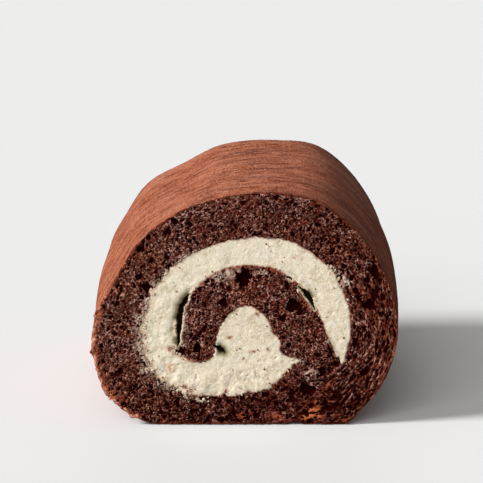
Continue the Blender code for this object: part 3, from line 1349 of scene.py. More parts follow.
@dataclass
class Crumb:
    """The sponge where it is cut, and the walls of the sheet inside the roll.

    Attributes:
        roll: The roll's form.
        front: The food at each place of the front cut.
        back: The food at each place of the back cut.
        foams: The bubbles, from fine to coarse.
        holes: The large air holes of the front cut.
        back_holes: The large air holes of the back cut.
        toasted: The orange-brown patches on the front cut.
        smears_and_light: Where cream is rubbed over the front cut's crumb; the last two paint light on the
            crumb high on the first turn.
        curl: The small curled bit beside the seam on the front cut.
        skirt: How far behind its cut each row of a face's skirt runs.
        deepest: The depth that counts as fully dark.
        wall_spacing: The spacing of corners along the sheet on the walls.
        wall_rows: How many rows of corners the walls have from cut to cut.
    """

    roll: RollForm
    front: CutMap
    back: CutMap
    foams: tuple[Foam, ...] = (
        Foam(201, 0.84, 0.09, 0.12, 0.78, 0.9),
        Foam(211, 1.4, 0.16, 0.30, 1.05, 0.34),
        Foam(221, 2.2, 0.28, 0.50, 1.4, 0.05),
    )
    holes: Spots = (
        Spot(-1.4, 49.3, 2.0, 2.3, 3.4, 10.0), Spot(15.2, 39.6, 1.9, 1.9, 3.0),
        Spot(-16.7, 25.4, 1.35, 1.45, 2.8), Spot(-9.3, 25.0, 1.5, 0.9, 2.0, -25.0),
        Spot(19.9, 11.8, 2.4, 1.5, 2.4), Spot(24.8, 17.8, 0.9, 1.8, 1.8, -8.0),
        Spot(40.3, 40.2, 1.6, 1.6, 2.2), Spot(41.8, 51.4, 1.1, 2.3, 2.2, 8.0),
        Spot(46.2, 35.6, 0.7, 1.1, 1.4), Spot(-35.4, 59.6, 1.6, 1.9, 2.4, 20.0),
        Spot(-24.0, 67.8, 1.2, 1.0, 1.8), Spot(-19.1, 67.0, 0.9, 0.8, 1.4),
        Spot(-22.8, 63.4, 0.7, 0.7, 1.2), Spot(-33.2, 45.9, 1.6, 1.7, 2.4, 30.0),
        Spot(-35.9, 49.6, 1.3, 0.9, 1.8, 20.0), Spot(38.7, 17.8, 2.1, 1.1, 2.0, 35.0),
        Spot(11.6, 35.4, 1.1, 1.0, 1.6), Spot(23.0, 66.7, 1.0, 0.8, 1.4), Spot(28.0, 58.2, 0.9, 0.9, 1.3),
        Spot(-24.0, 1.2, 1.5, 0.9, 1.5), Spot(-7.5, 1.1, 1.5, 0.8, 1.4), Spot(-23.5, 7.4, 0.8, 0.9, 1.2),
        Spot(-42.1, 17.9, 1.0, 1.0, 1.4), Spot(-22.3, 23.9, 1.6, 1.6, 1.6, 10.0),
    )
    back_holes: Spots = (
        Spot(-30.0, 57.0, 1.5, 1.9, 2.4, -30.0), Spot(6.0, 68.5, 1.9, 1.2, 2.4),
        Spot(38.0, 54.0, 1.4, 1.6, 2.2), Spot(42.5, 26.0, 1.1, 2.0, 2.2), Spot(-40.0, 28.0, 1.3, 1.8, 2.2),
        Spot(-6.0, 46.5, 1.7, 1.5, 2.6), Spot(18.5, 30.0, 1.4, 1.7, 2.4), Spot(3.0, 5.5, 2.0, 1.1, 2.0),
        Spot(-31.0, 9.0, 1.5, 1.0, 2.0, -35.0), Spot(31.0, 9.5, 1.2, 1.0, 1.8, 35.0),
    )
    toasted: Spots = (
        Spot(21.4, 3.5, 3.7, 3.2, 1.6), Spot(19.4, 1.6, 2.2, 1.4, 1.5), Spot(9.2, 2.8, 2.6, 1.9, 1.05),
        Spot(13.2, 2.2, 1.0, 1.2, 0.8), Spot(-1.8, 2.6, 2.2, 1.5, 0.85), Spot(-28.3, 1.6, 2.0, 1.2, 0.85),
        Spot(33.0, 1.4, 2.8, 1.2, 0.85), Spot(19.3, 40.6, 1.1, 3.4, 0.8, 32.0),
        Spot(-41.5, 8.6, 1.6, 1.2, 0.6), Spot(-19.4, 44.6, 1.0, 1.2, 0.8),
    )
    smears_and_light: Spots = (
        Spot(27.4, 52.6, 1.8, 0.9, 1.1, -40.0), Spot(30.4, 49.6, 2.4, 1.4, 1.0, -40.0),
        Spot(33.0, 47.2, 1.7, 1.5, 1.1), Spot(31.0, 45.0, 1.2, 1.6, 0.8), Spot(-32.4, 37.0, 1.7, 3.2, 0.6),
        Spot(-33.6, 30.5, 1.8, 2.6, 0.55), Spot(-34.0, 24.0, 2.4, 2.6, 0.5),
        Spot(-31.0, 17.0, 2.8, 2.4, 0.6, -40.0), Spot(-26.0, 12.6, 2.8, 1.6, 0.6, -30.0),
        Spot(-16.6, 8.2, 2.0, 0.9, 0.9), Spot(-13.6, 7.4, 1.6, 0.8, 0.8),
        Spot(16.0, 21.4, 2.2, 1.0, 1.1, -12.0), Spot(13.2, 27.0, 1.4, 0.9, 0.6),
        # The last two spots are painted light: a pinkish film that lightens the crumb high on the first turn.
        Spot(-9.0, 27.2, 1.2, 1.0, 0.6), Spot(-7.4, 50.2, 4.6, 2.2, 0.6, 12.0),
        Spot(5.0, 50.6, 4.0, 1.4, 0.45, -16.0),
    )
    curl: Spot = Spot(21.1, 16.4, 2.1, 1.7, 0.9, 8.0)
    skirt: tuple[float, ...] = (2.2, 5.0)
    deepest: float = 0.62
    wall_spacing: float = 0.9
    wall_rows: int = 34

    def built(self, material: Material) -> list[Piece]:
        """Build the two cut faces and the walls between them.

        Args:
            material: The crumb's finish.

        Returns:
            The pieces.
        """
        pieces = [
            self._face("crumb_front", self.front, Side.FRONT, material),
            self._face("crumb_back", self.back, Side.BACK, material),
            self._walls(material),
        ]
        return pieces

    def _face(self, name: str, cut: CutMap, side: Side, material: Material) -> Piece:
        """Build one cut face of the sponge.

        Args:
            name: The piece's name.
            cut: The food at each place of the cut.
            side: Which cut face.
            material: The crumb's finish.

        Returns:
            The piece.
        """
        front = side is Side.FRONT
        grid = CutGrid(cut.x, cut.z, cut.sponge | cut.wedge, cut.skin_line)
        seed = FRONT_SEED if front else BACK_SEED
        away = 0.0 if front else BACK_CUT_START
        x, z = grid.square_x, grid.square_z
        to_skin, nearest = nearest_points(grid.nodes, self.roll.skin[::2])
        along, across = self._laid(grid.nodes, to_skin, nearest)
        depth = np.zeros_like(x)
        for foam in self.foams:
            depth = np.maximum(depth, foam.depth(along + away, across))
        depth = np.maximum(depth, hole_depth(self.holes if front else self.back_holes, x, z, seed))
        to_fold, _ = nearest_points(grid.nodes, self.roll.fold[::2])
        wavy = 0.22 * lumps(seed + 3, 7.0, x, z) + 0.16 * lumps(seed + 4, 2.4, x, z)
        rough = 0.10 * lumps(seed + 5, 0.45, x, z)
        torn = 0.30 * np.clip(lumps(seed + 6, 1.1, x, z), 0.0, 1.0) ** 2
        wedge = cut.wedge[grid.used] * 0.9
        seam = np.exp(-((to_fold / 0.45) ** 2)) * (x > 2.0) * (z < 24.0)
        total = depth + wavy + rough + torn + 0.25 * np.exp(-to_skin / 0.7) + 0.35 * seam + wedge
        leafy = SoftNoise(seed + 7, 5.5, 0.55).at(along, across) * rising(x, 14.0, 18.0)
        total += 0.25 * leafy
        tinge = 0.5 + 0.5 * lumps(seed + 9, 1.0, x, z)
        fringe = 0.75 * np.exp(-((cut.to_cream[grid.used] / 0.7) ** 2)) * tinge * (z > 30.0)
        # How deep each place lies in a pore, which sets its painted shade.
        hollow_shade = (depth + torn + 0.25 * wedge) / self.deepest
        if front:
            total -= self.curl.amount * np.exp(-self.curl.reach(x, z) ** 4)
        values = {
            # pit_shade also holds painted shade low down and on the right.
            "pit_shade": np.clip(hollow_shade + self._low_right_shade(x, z) + 0.3 * leafy, 0.0, 1.3),
            "crumb_place": np.column_stack([along, total, across]) * MM,
            "browned": np.maximum(self._browned(x, z, to_skin, to_fold, leafy, front, seed), fringe),
            "lit": self._lit(x, z) * (1.0 + 0.4 * lumps(seed + 8, 3.4, x, z)),
            "creamed": self._creamed(x, z, cut.to_cream[grid.used], cut.to_pocket[grid.used], seed),
        }
        return relief_face(self.roll, grid, total, side, self.skirt, values).made(name, material)

    def _laid(self, points: Points, to_skin: Values, nearest: Numbers) -> tuple[Values, Values]:
        """Return how far along and across the sheet places of the last turn lie.

        The pores are drawn out along the sheet, most of all on the right.  Places of the
        first turn keep their own coordinates.

        Args:
            points: The places.
            to_skin: How far each is from the crust.
            nearest: The number of the nearest point of the crust's line.

        Returns:
            The two coordinates.
        """
        line = self.roll.skin[::2]
        ahead = np.gradient(line, axis=0)
        step = np.linalg.norm(ahead, axis=1)
        drawn = 1.2 + 1.1 * rising(line[:, 0], 6.0, 24.0) * falling(line[:, 1], 66.0, 24.0)
        run = np.cumsum(step / drawn)
        beside = ((points - line[nearest]) * ahead[nearest]).sum(axis=1) / (step * drawn)[nearest]
        last_turn = to_skin < LAST_TURN_REACH
        along = np.where(last_turn, run[nearest] + beside, points[:, 0] + FIRST_TURN_START)
        return along, np.where(last_turn, to_skin, points[:, 1])

    @staticmethod
    def _low_right_shade(x: Values, z: Values) -> Values:
        """Return painted shade that darkens the crumb towards the bottom and the right."""
        return 0.36 * falling(z, 20.0, 12.0) + 0.12 * rising(x, 4.0, 30.0)

    @staticmethod
    def _lit(x: Values, z: Values) -> Values:
        """Return how strongly the membranes catch the light, most of all high on the left.

        Args:
            x: Their first coordinates.
            z: Their second coordinates.

        Returns:
            The strength at each place.
        """
        lit = 0.95 + 0.33 * rising(-x, 4.0, 20.0) - 0.04 * rising(x, 10.0, 26.0)
        inner = np.exp(-((x + 2.0) / 14.0) ** 2 - ((z - 46.0) / 8.0) ** 2)
        return (lit + 0.5 * inner) * (1.0 - 0.50 * falling(z, 18.0, 12.0) * (x > -20.0))

    def _browned(
        self, x: Values, z: Values, to_skin: Values, to_fold: Values, leafy: Values, front: bool, seed: int
    ) -> Values:
        """Return how much the oven browned places of the cut, most of all beside the crust.

        Args:
            x: Their first coordinates.
            z: Their second coordinates.
            to_skin: How far each is from the crust.
            to_fold: How far each is from the crust's inner fold.
            leafy: How the layers drawn out along the sheet stand at each.
            front: True for the front cut.
            seed: Which unevenness.

        Returns:
            How brown each place is.
        """
        patchy = 0.5 + 0.5 * lumps(seed + 10, 2.6, x, z)
        speckled = 0.5 + 0.5 * lumps(seed + 11, 0.8, x, z)
        browned = painted(self.toasted if front else (), x, z) * (0.12 + 0.65 * patchy + 0.65 * speckled)
        torn = low_left(x, z)
        skinward = np.exp(-((to_skin - 0.3) / (0.6 + 1.1 * torn)) ** 2) * rising(z, 0.8, 2.0)
        browned = np.maximum(browned, (0.6 + 0.35 * torn) * skinward * (patchy + 0.3 * torn))
        browned = np.maximum(browned, 0.9 * np.exp(-((to_fold / 0.6) ** 2)) * (0.5 + 0.6 * patchy))
        rings = np.clip(-leafy - 0.2, 0.0, 0.4) * 1.4 * np.exp(-to_skin / 7.0)
        return np.maximum(browned, rings * (0.4 + 0.6 * speckled))

    def _creamed(self, x: Values, z: Values, to_cream: Values, to_pocket: Values, seed: int) -> Values:
        """Return how much cream is rubbed over places of the cut, with painted light high on the first turn
        laid the same way.

        Args:
            x: Their first coordinates.
            z: Their second coordinates.
            to_cream: How far each is from the cream.
            to_pocket: How far each is from an air gap.
            seed: Which unevenness.

        Returns:
            How much cream covers each place.
        """
        patchy = 0.5 + 0.5 * lumps(seed + 12, 1.3, x, z)
        fuzzy = np.clip((-x - 10.0) / 18.0, 0.15, 1.0)
        # Rubbed cream, and painted light high on the first turn.
        rubbed = painted(self.smears_and_light if seed == FRONT_SEED else (), x, z) * (0.3 + 1.1 * patchy)
        border = fuzzy * np.exp(-to_cream / 1.4) * (0.2 + 1.0 * patchy)
        border = np.maximum(border, 0.24 * (fuzzy - 0.15) * np.exp(-to_cream / 5.0) * (0.1 + 1.1 * patchy))
        film = 1.3 * np.exp(-((to_pocket - 0.15) / 0.4) ** 2) * (z > 27.0) * (0.6 + 0.6 * patchy)
        curl = np.exp(-((self.curl.reach(x, z) - 0.9) / 0.30) ** 2) * (0.12 + 0.62 * patchy)
        curl = curl * (seed == FRONT_SEED)
        return np.maximum(np.maximum(rubbed, border), np.maximum(film, curl))

    def _walls(self, material: Material) -> Piece:
        """Build the sheet's creamed side and the crust's inner fold along the roll.

        Args:
            material: The crumb's finish.

        Returns:
            The piece.
        """
        spacing = self.wall_spacing
        line = respaced(np.vstack([self.roll.fold, self.roll.creamed[1:]]), spacing)
        depths = np.linspace(2.0, self.roll.length - 2.0, self.wall_rows)
        shift = self.roll.shift(line)
        normals = line_normals(line)
        run = np.arange(len(line)) * spacing
        rows = []
        for depth in depths:
            relief = 0.35 + 0.2 * SoftNoise(31, 1.6, 1.6).at(run, np.full_like(run, depth))
            level = np.full(len(line), depth)
            rows.append(self.roll.placed(line - normals * relief[:, None], level, shift))
        faces = [face[::-1] for face in strip_faces(len(depths), len(line))]
        corners = np.vstack(rows)
        corners[:, 2] = np.maximum(corners[:, 2], 0.1)
        values = {key: np.full(len(corners), amount) for key, amount in WALL_VALUES.items()}
        values["crumb_place"] = corners * MM
        return MeshParts(corners, faces, values).made("sponge_walls", material)


# ---- the crust ----


@dataclass
class Crust:
    """The browned skin that wraps the last turn of the sponge, as one closed shell.

    Attributes:
        roll: The roll's form.
        fine: The spacing of corners round the roll near the cuts.
        per_column: How many fine spacings make one of the spacings further in.
        thickness: How thick the skin looks where it is cut.
        nubs: Where bits of skin stand out from the torn rim, with how far.
        edge_end: How far from a cut its closely spaced rows end.
        front_step: The spacing of the rows along the front half.
        back_step: The same along the back half.
        under: How far from the nearest cut each row of the shell's inside lies.
        edge: How far from its cut, and how far through the skin, each row over a cut edge lies,
            from inside to outside.
    """

    roll: RollForm
    fine: float = 0.36
    per_column: int = 4
    thickness: float = 0.6
    edge_end: float = 4.0
    front_step: float = 0.46
    back_step: float = 0.52
    under: tuple[float, ...] = (6.0, 30.0, 60.0)
    nubs: Spots = (
        Spot(-44.3, 10.2, 1.3, 1.5, 0.9), Spot(-47.6, 24.0, 0.9, 1.2, 0.2), Spot(-41.0, 5.4, 1.2, 0.9, 0.5),
    )
    edge: tuple[tuple[float, float], ...] = (
        (3.0, 1.0), (1.0, 1.0), (0.35, 0.95), (0.1, 0.78), (0.0, 0.5), (0.05, 0.22), (0.2, 0.06),
        (0.5, 0.0), (0.9, 0.0), (1.4, 0.0), (2.0, 0.0), (2.7, 0.0), (3.5, 0.0),
    )
    line: Points = later()
    run: Values = later()
    normals: Points = later()
    shift: Points = later()

    def __post_init__(self) -> None:
        """Take the skin's line from the roll, with a short tail into the seam."""
        tail = int(3.0 / self.roll.fine)
        line = np.vstack([self.roll.skin, self.roll.fold[1:tail]])
        around = float(np.linalg.norm(np.diff(line, axis=0), axis=1).sum())
        columns = int(around / self.fine / self.per_column) * self.per_column
        self.line = respaced(line, around / columns)
        self.run = np.linspace(0.0, around, len(self.line))
        self.normals = line_normals(self.line)
        self.shift = self.roll.shift(self.line)

    def relief(self, run: Values, depth: Values) -> Values:
        """Return how far the skin stands out from the roll's form.

        Args:
            run: How far round the roll each place is.
            depth: How far behind the front cut it is.

        Returns:
            The height at each place.
        """
        dents = 0.30 * SoftNoise(41, 26.0, 30.0).at(run, depth)
        dents = dents + 0.09 * SoftNoise(42, 9.0, 14.0).at(run, depth)
        wrinkles = 0.055 * SoftNoise(43, 13.0, 3.6).at(run, depth)
        wrinkles = wrinkles + 0.035 * SoftNoise(44, 6.0, 1.8).at(run, depth)
        grain = 0.02 * SoftNoise(45, 3.2, 2.0).at(run, depth)
        return dents + wrinkles + grain

    def _row(self, near: float, inward: float, side: Side, every: int) -> tuple[Points, Points, Values]:
        """Return one row's places, with its places on the sheet and what the finish reads there.

        Args:
            near: How far the row is from its nearest cut.
            inward: How far through the skin it is, from 0 outside to 1 inside.
            side: Which cut is nearest.
            every: How many fine spacings lie between its corners.

        Returns:
            Places in the roll's frame, sheet places, how far cut and torn each is, and how much painted shade
            darkens it on the right side.
        """
        pick = slice(None, None, every)
        line, run = self.line[pick], self.run[pick]
        level = np.full(len(line), near)
        flat = run * 0.0
        crumbly = SoftNoise(54, 0.7, 0.7)
        fade = np.clip(1.0 - near / 1.2, 0.0, 1.0)
        ragged = 0.28 * lumps(52, 1.3, run, flat) + 0.20 * lumps(53, 0.6, run, flat)
        local = level + (ragged + 0.12 * crumbly.at(run, level + inward * 3.0)) * fade
        depth = self.roll.behind(local, side)
        torn = low_left(line[:, 0], line[:, 1])
        torn *= rising(line[:, 1], 0.6, 1.6)
        uneven = 0.4 * lumps(51, 2.4, run, flat) + 0.7 * lumps(55, 0.8, run, flat)
        thick = self.thickness * np.maximum(0.75 + 1.5 * torn + uneven * (1.0 + 0.5 * torn), 0.15)
        steady = np.clip(line[:, 1] / 3.0, 0.0, 1.0) * min(max(near / 9.0, 0.2), 1.0)
        height = self.relief(run, depth) * steady
        beside = np.clip(1.0 - near / 3.5, 0.0, 1.0)
        height += 0.07 * crumbly.at(run + 40.0, level) * beside * (line[:, 1] > 1.0)
        bits = 0.9 * lumps(56, 2.4, run, level) + 0.5 * lumps(57, 1.0, run, level)
        if side is Side.FRONT:
            nubs = painted(self.nubs, line[:, 0], line[:, 1])
            height += beside * (torn * (np.maximum(bits, -0.15) + 0.1) + nubs)
        height -= inward * (thick + 1.6 * min(max(near - 1.0, 0.0) / 2.0, 1.0))
        moved = self.roll.placed(line + self.normals[pick] * height[:, None], depth, self.shift[pick])
        moved[:, 2] = np.maximum(moved[:, 2], 0.0)
        low = np.clip(1.0 - line[:, 1] / 2.5, 0.0, 1.0)
        lip = max(inward, math.exp(-near / 3.0)) * (1.0 - 0.9 * torn) * (1.0 + low)
        rim = torn * max(inward, math.exp(-near / 1.5))
        # Painted shade: the skin darkens towards the right side of the roll.
        right_side_shade = rising(line[:, 0], 6.0, 24.0)
        sheet = np.column_stack([run * MM, depth * MM, inward * thick * MM])
        return moved, sheet, np.stack([lip, rim, right_side_shade])

    def _profile(self) -> list[tuple[float, float, Side, int]]:
        """Order the rows of the shell, from the front edge back round to it.

        Returns:
            How far each row is from its cut and through the skin, which cut, and its spacing.
        """
        half = self.roll.length / 2.0
        coarse = self.per_column
        front = [(near, inward, Side.FRONT, 1) for near, inward in self.edge]
        back = [(near, inward, Side.BACK, 1) for near, inward in reversed(self.edge)]
        top = [(near, 0.0, Side.FRONT, coarse) for near in np.arange(self.edge_end, half, self.front_step)]
        top += [(near, 0.0, Side.BACK, coarse) for near in np.arange(half, self.edge_end, -self.back_step)]
        under = [(near, 1.0, Side.BACK, coarse) for near in self.under]
        under += [(near, 1.0, Side.FRONT, coarse) for near in reversed(self.under)]
        return front + top + back + under

    def built(self, material: Material) -> list[Piece]:
        """Build the skin.

        Args:
            material: The skin's finish.

        Returns:
            The piece, in a list.
        """
        profile = self._profile()
        rows = [self._row(*entry) for entry in profile]
        starts = np.concatenate([[0], np.cumsum([len(row[0]) for row in rows])])
        faces: list[list[int]] = []
        for number in range(len(rows)):
            after = (number + 1) % len(rows)
            faces += self._between(starts[number], profile[number][3], starts[after], profile[after][3])
        corners = np.vstack([row[0] for row in rows])
        chart = [
            np.column_stack([np.linspace(0.01, 0.99, len(row[0])), np.full(len(row[0]), 0.01 + 0.98 * share)])
            for row, share in zip(rows, np.linspace(0.0, 1.0, len(rows)))
        ]
        values = {"sheet_place": np.vstack([row[1] for row in rows])}
        for number, key in enumerate(("lip", "rim", "right_side_shade")):
            values[key] = np.concatenate([row[2][number] for row in rows])
        piece = MeshParts(corners, faces, values, np.vstack(chart)).made("crust_skin", material)
        return [piece]

    def _between(self, first: int, first_every: int, second: int, second_every: int) -> list[list[int]]:
        """Return the faces between two rows, whose corners may be spaced differently.

        Args:
            first: The number of the first row's first corner.
            first_every: How many fine spacings lie between that row's corners.
            second: The number of the second row's first corner.
            second_every: How many fine spacings lie between its corners.

        Returns:
            The corner numbers of each face.
        """
        columns = len(self.line) - 1
        step = max(first_every, second_every)
        faces = []
        for at in range(0, columns, step):
            near = [first + place // first_every for place in range(at, at + step + 1, first_every)]
            far = [second + place // second_every for place in range(at, at + step + 1, second_every)]
            if len(near) == len(far):
                faces.append([near[0], far[0], far[1], near[1]])
                continue
            many, few = (near, far) if len(near) > len(far) else (far, near)
            half = len(many) // 2
            fan = [[many[k], few[0], many[k + 1]] for k in range(half)]
            fan.append([many[half], few[0], few[1]])
            fan += [[many[k], few[1], many[k + 1]] for k in range(half, len(many) - 1)]
            faces += fan if many is near else [face[::-1] for face in fan]
        return faces


# ---- the cream ----


@dataclass
class Cream:
    """The cream rolled up in the sponge, as one closed body.

    Attributes:
        roll: The roll's form.
        cut: The food at each place of the front cut.
        spread: How far the cream presses out behind the crumb.
        stains: Where crumb has marked it on the front cut.
        levels: How far behind the front cut each row of its side lies.
        relief_seeds: Which relief the front cut and the back cut have.
        tinge_seed: Which flecks of crumb they have.
        stain_seed: Which unevenness the stains have.
    """

    roll: RollForm
    cut: CutMap
    spread: float = 0.8
    stains: Spots = (
        Spot(-25.6, 18.8, 2.2, 2.4, 0.50, 20.0), Spot(1.6, 24.3, 1.0, 0.6, 1.1),
        Spot(6.6, 25.0, 0.9, 0.8, 0.85), Spot(15.3, 55.9, 1.0, 0.5, 0.75, -20.0),
        Spot(3.5, 37.0, 1.0, 1.0, 0.7), Spot(-5.8, 29.1, 1.6, 0.5, 0.35), Spot(-21.1, 46.9, 0.4, 0.35, 0.9),
        Spot(-9.8, 60.1, 1.0, 0.5, 0.4, -20.0), Spot(25.7, 44.1, 0.45, 0.4, 0.75),
        Spot(26.6, 37.6, 0.4, 0.35, 0.75), Spot(26.2, 35.9, 0.35, 0.35, 0.75),
        Spot(11.2, 60.4, 0.4, 0.3, 0.75), Spot(-33.6, 28.8, 0.5, 0.5, 0.75),
        Spot(-28.9, 35.7, 1.0, 0.5, 0.45, 20.0), Spot(-5.8, 29.1, 1.1, 0.7, 0.8),
        Spot(2.8, 37.5, 0.8, 1.4, 0.7), Spot(0.8, 24.5, 0.7, 0.6, 1.0), Spot(-1.5, 22.1, 0.55, 0.5, 1.0),
        Spot(-0.9, 27.8, 0.45, 0.4, 0.7), Spot(-25.6, 25.1, 1.6, 1.2, 0.75, -20.0),
        Spot(-15.4, 40.2, 0.7, 0.5, 0.85), Spot(-12.4, 49.6, 0.7, 0.6, 0.6),
        Spot(15.6, 56.3, 0.9, 0.7, 0.55), Spot(3.0, 33.0, 9.0, 9.0, 0.20), Spot(26.0, 36.0, 6.0, 8.0, 0.20),
        Spot(-4.0, 15.0, 20.0, 8.0, 0.15),
    )
    levels: tuple[float, ...] = (2.5, 6.0, 12.0, 25.0, 50.0, 80.0, 110.0, 140.0, 155.0, 162.5)
    relief_seeds: tuple[int, int] = (61, 71)
    tinge_seed: int = 81
    stain_seed: int = 91

    def built(self, material: Material) -> list[Piece]:
        """Build the cream from cut to cut.

        Args:
            material: The cream's finish.

        Returns:
            The piece, in a list.
        """
        cut = self.cut
        grid = CutGrid(cut.x, cut.z, cut.cream | cut.pocket | (cut.sponge & (cut.to_cream < self.spread)))
        shift = self.roll.shift(grid.nodes)
        count = len(grid.nodes)
        corners = [
            self.roll.placed(grid.nodes, self.roll.behind(self._relief(grid, seed), side), shift)
            for side, seed in zip(Side, self.relief_seeds)
        ]
        all_faces = grid.faces.tolist() + (grid.faces[:, ::-1] + count).tolist()
        rim_nodes, places = np.unique(grid.rim, return_inverse=True)
        places = places.reshape(grid.rim.shape)
        near = rim_nodes
        total = 2 * count
        for level in self.levels:
            rim_level = np.full(len(rim_nodes), level)
            corners.append(self.roll.placed(grid.nodes[rim_nodes], rim_level, shift[rim_nodes]))
            far = total + np.arange(len(rim_nodes))
            all_faces += side_faces(near, far, places).tolist()
            near = far
            total += len(rim_nodes)
        all_faces += side_faces(near, rim_nodes + count, places).tolist()
        stained, hollow_shade = np.zeros(total), np.zeros(total)
        stained[:count] = self._stained(grid)
        stained[count:2 * count] = self._tinged(grid)
        hollow_shade[:count] = hollow_shade[count:2 * count] = self._gap_shade(grid)
        values = {"stained": stained, "hollow_shade": hollow_shade}
        piece = MeshParts(np.vstack(corners), all_faces, values).made("cream_filling", material)
        return [piece]

    def _gap_shade(self, grid: CutGrid) -> Values:
        """Return the painted shade of the cream in and beside the air gaps.

        Args:
            grid: The cells that cover the face.

        Returns:
            The darkness at each of the grid's corners.
        """
        open_side = rising(self.cut.to_sponge[grid.used], 0.5, 0.8)
        beside = 0.75 * np.exp(-((self.cut.to_pocket[grid.used] / 1.5) ** 1.3)) * open_side
        return np.where(self.cut.pocket[grid.used], 1.0, beside)

    def _tinged(self, grid: CutGrid) -> Values:
        """Return how much crumb colours the cream beside it and in small flecks.

        Args:
            grid: The cells that cover the face.

        Returns:
            The colouring at each of the grid's corners.
        """
        x, z = grid.square_x, grid.square_z
        patchy = 0.5 + 0.5 * lumps(self.tinge_seed, 1.1, x, z)
        speckled = 0.5 + 0.5 * lumps(self.tinge_seed + 2, 0.55, x, z)
        fuzzy = 0.35 + 1.0 * rising(-x, 14.0, 18.0) + 0.6 * falling(z, 19.0, 6.0)
        near = np.exp(-self.cut.to_sponge[grid.used] / (0.35 + 0.65 * fuzzy))
        border = near * (0.35 + 0.5 * patchy + 0.5 * speckled)
        flecks = np.clip(lumps(self.tinge_seed + 1, 0.62, x, z) - 0.76, 0.0, 0.2) * 4.5
        return np.maximum(0.75 * border, flecks)

    def _stained(self, grid: CutGrid) -> Values:
        """Return how much crumb has marked the front cut's cream.

        Args:
            grid: The cells that cover the face.

        Returns:
            The marking at each of the grid's corners.
        """
        x, z = grid.nodes.T
        speckled = 1.0 + 1.1 * lumps(self.stain_seed, 0.6, x, z)
        marked = painted(self.stains, x, z) * np.clip(speckled, 0.4, 1.8)
        return np.maximum(marked, self._tinged(grid))

    def _relief(self, grid: CutGrid, seed: int) -> Values:
        """Return how far behind its cut the cream's face lies.

        Args:
            grid: The cells that cover the face.
            seed: Which relief.

        Returns:
            The depth at each of the grid's corners.
        """
        x, z = grid.square_x, grid.square_z
        rough = 0.26 + 0.55 * falling(z, 26.0, 16.0) + 0.2 * rising(-x, 14.0, 14.0)
        waves = 0.38 * lumps(seed, 4.6, x, z) + 0.26 * lumps(seed + 1, 2.1, x, z)
        fluff = 0.13 * lumps(seed + 2, 1.0, x, z) + 0.06 * lumps(seed + 4, 0.5, x, z)
        dimples = Foam(seed + 3, 1.5, 0.35, 0.15, 0.6, 0.09).depth(x, z)
        to_sponge = self.cut.to_sponge[grid.used]
        rounded = 0.15 * np.exp(-to_sponge / 0.6)
        under = 1.1 * rising(self.cut.to_cream[grid.used], 0.2, 0.5)
        open_side = rising(to_sponge, 0.5, 0.8)
        sunk = 1.3 * np.exp(-self.cut.to_pocket[grid.used] / 0.9) * open_side
        pocket = self.cut.pocket[grid.used]
        return 0.3 + rough * (waves + fluff + dimples) + rounded + np.where(pocket, 2.6, under + sunk)


# ---- crumbs and bits of cream ----


@dataclass(frozen=True)
class Morsel:
    """One small loose lump on the cut face.

    Attributes:
        x: Its middle, to the right.
        z: Its middle, above the floor.
        depth: How far behind the cut its middle lies.
        size: Half its width, thickness and height.
        lean: How far it is turned on the face, in degrees.
    """

    x: float
    z: float
    depth: float
    size: tuple[float, float, float]
    lean: float = 0.0


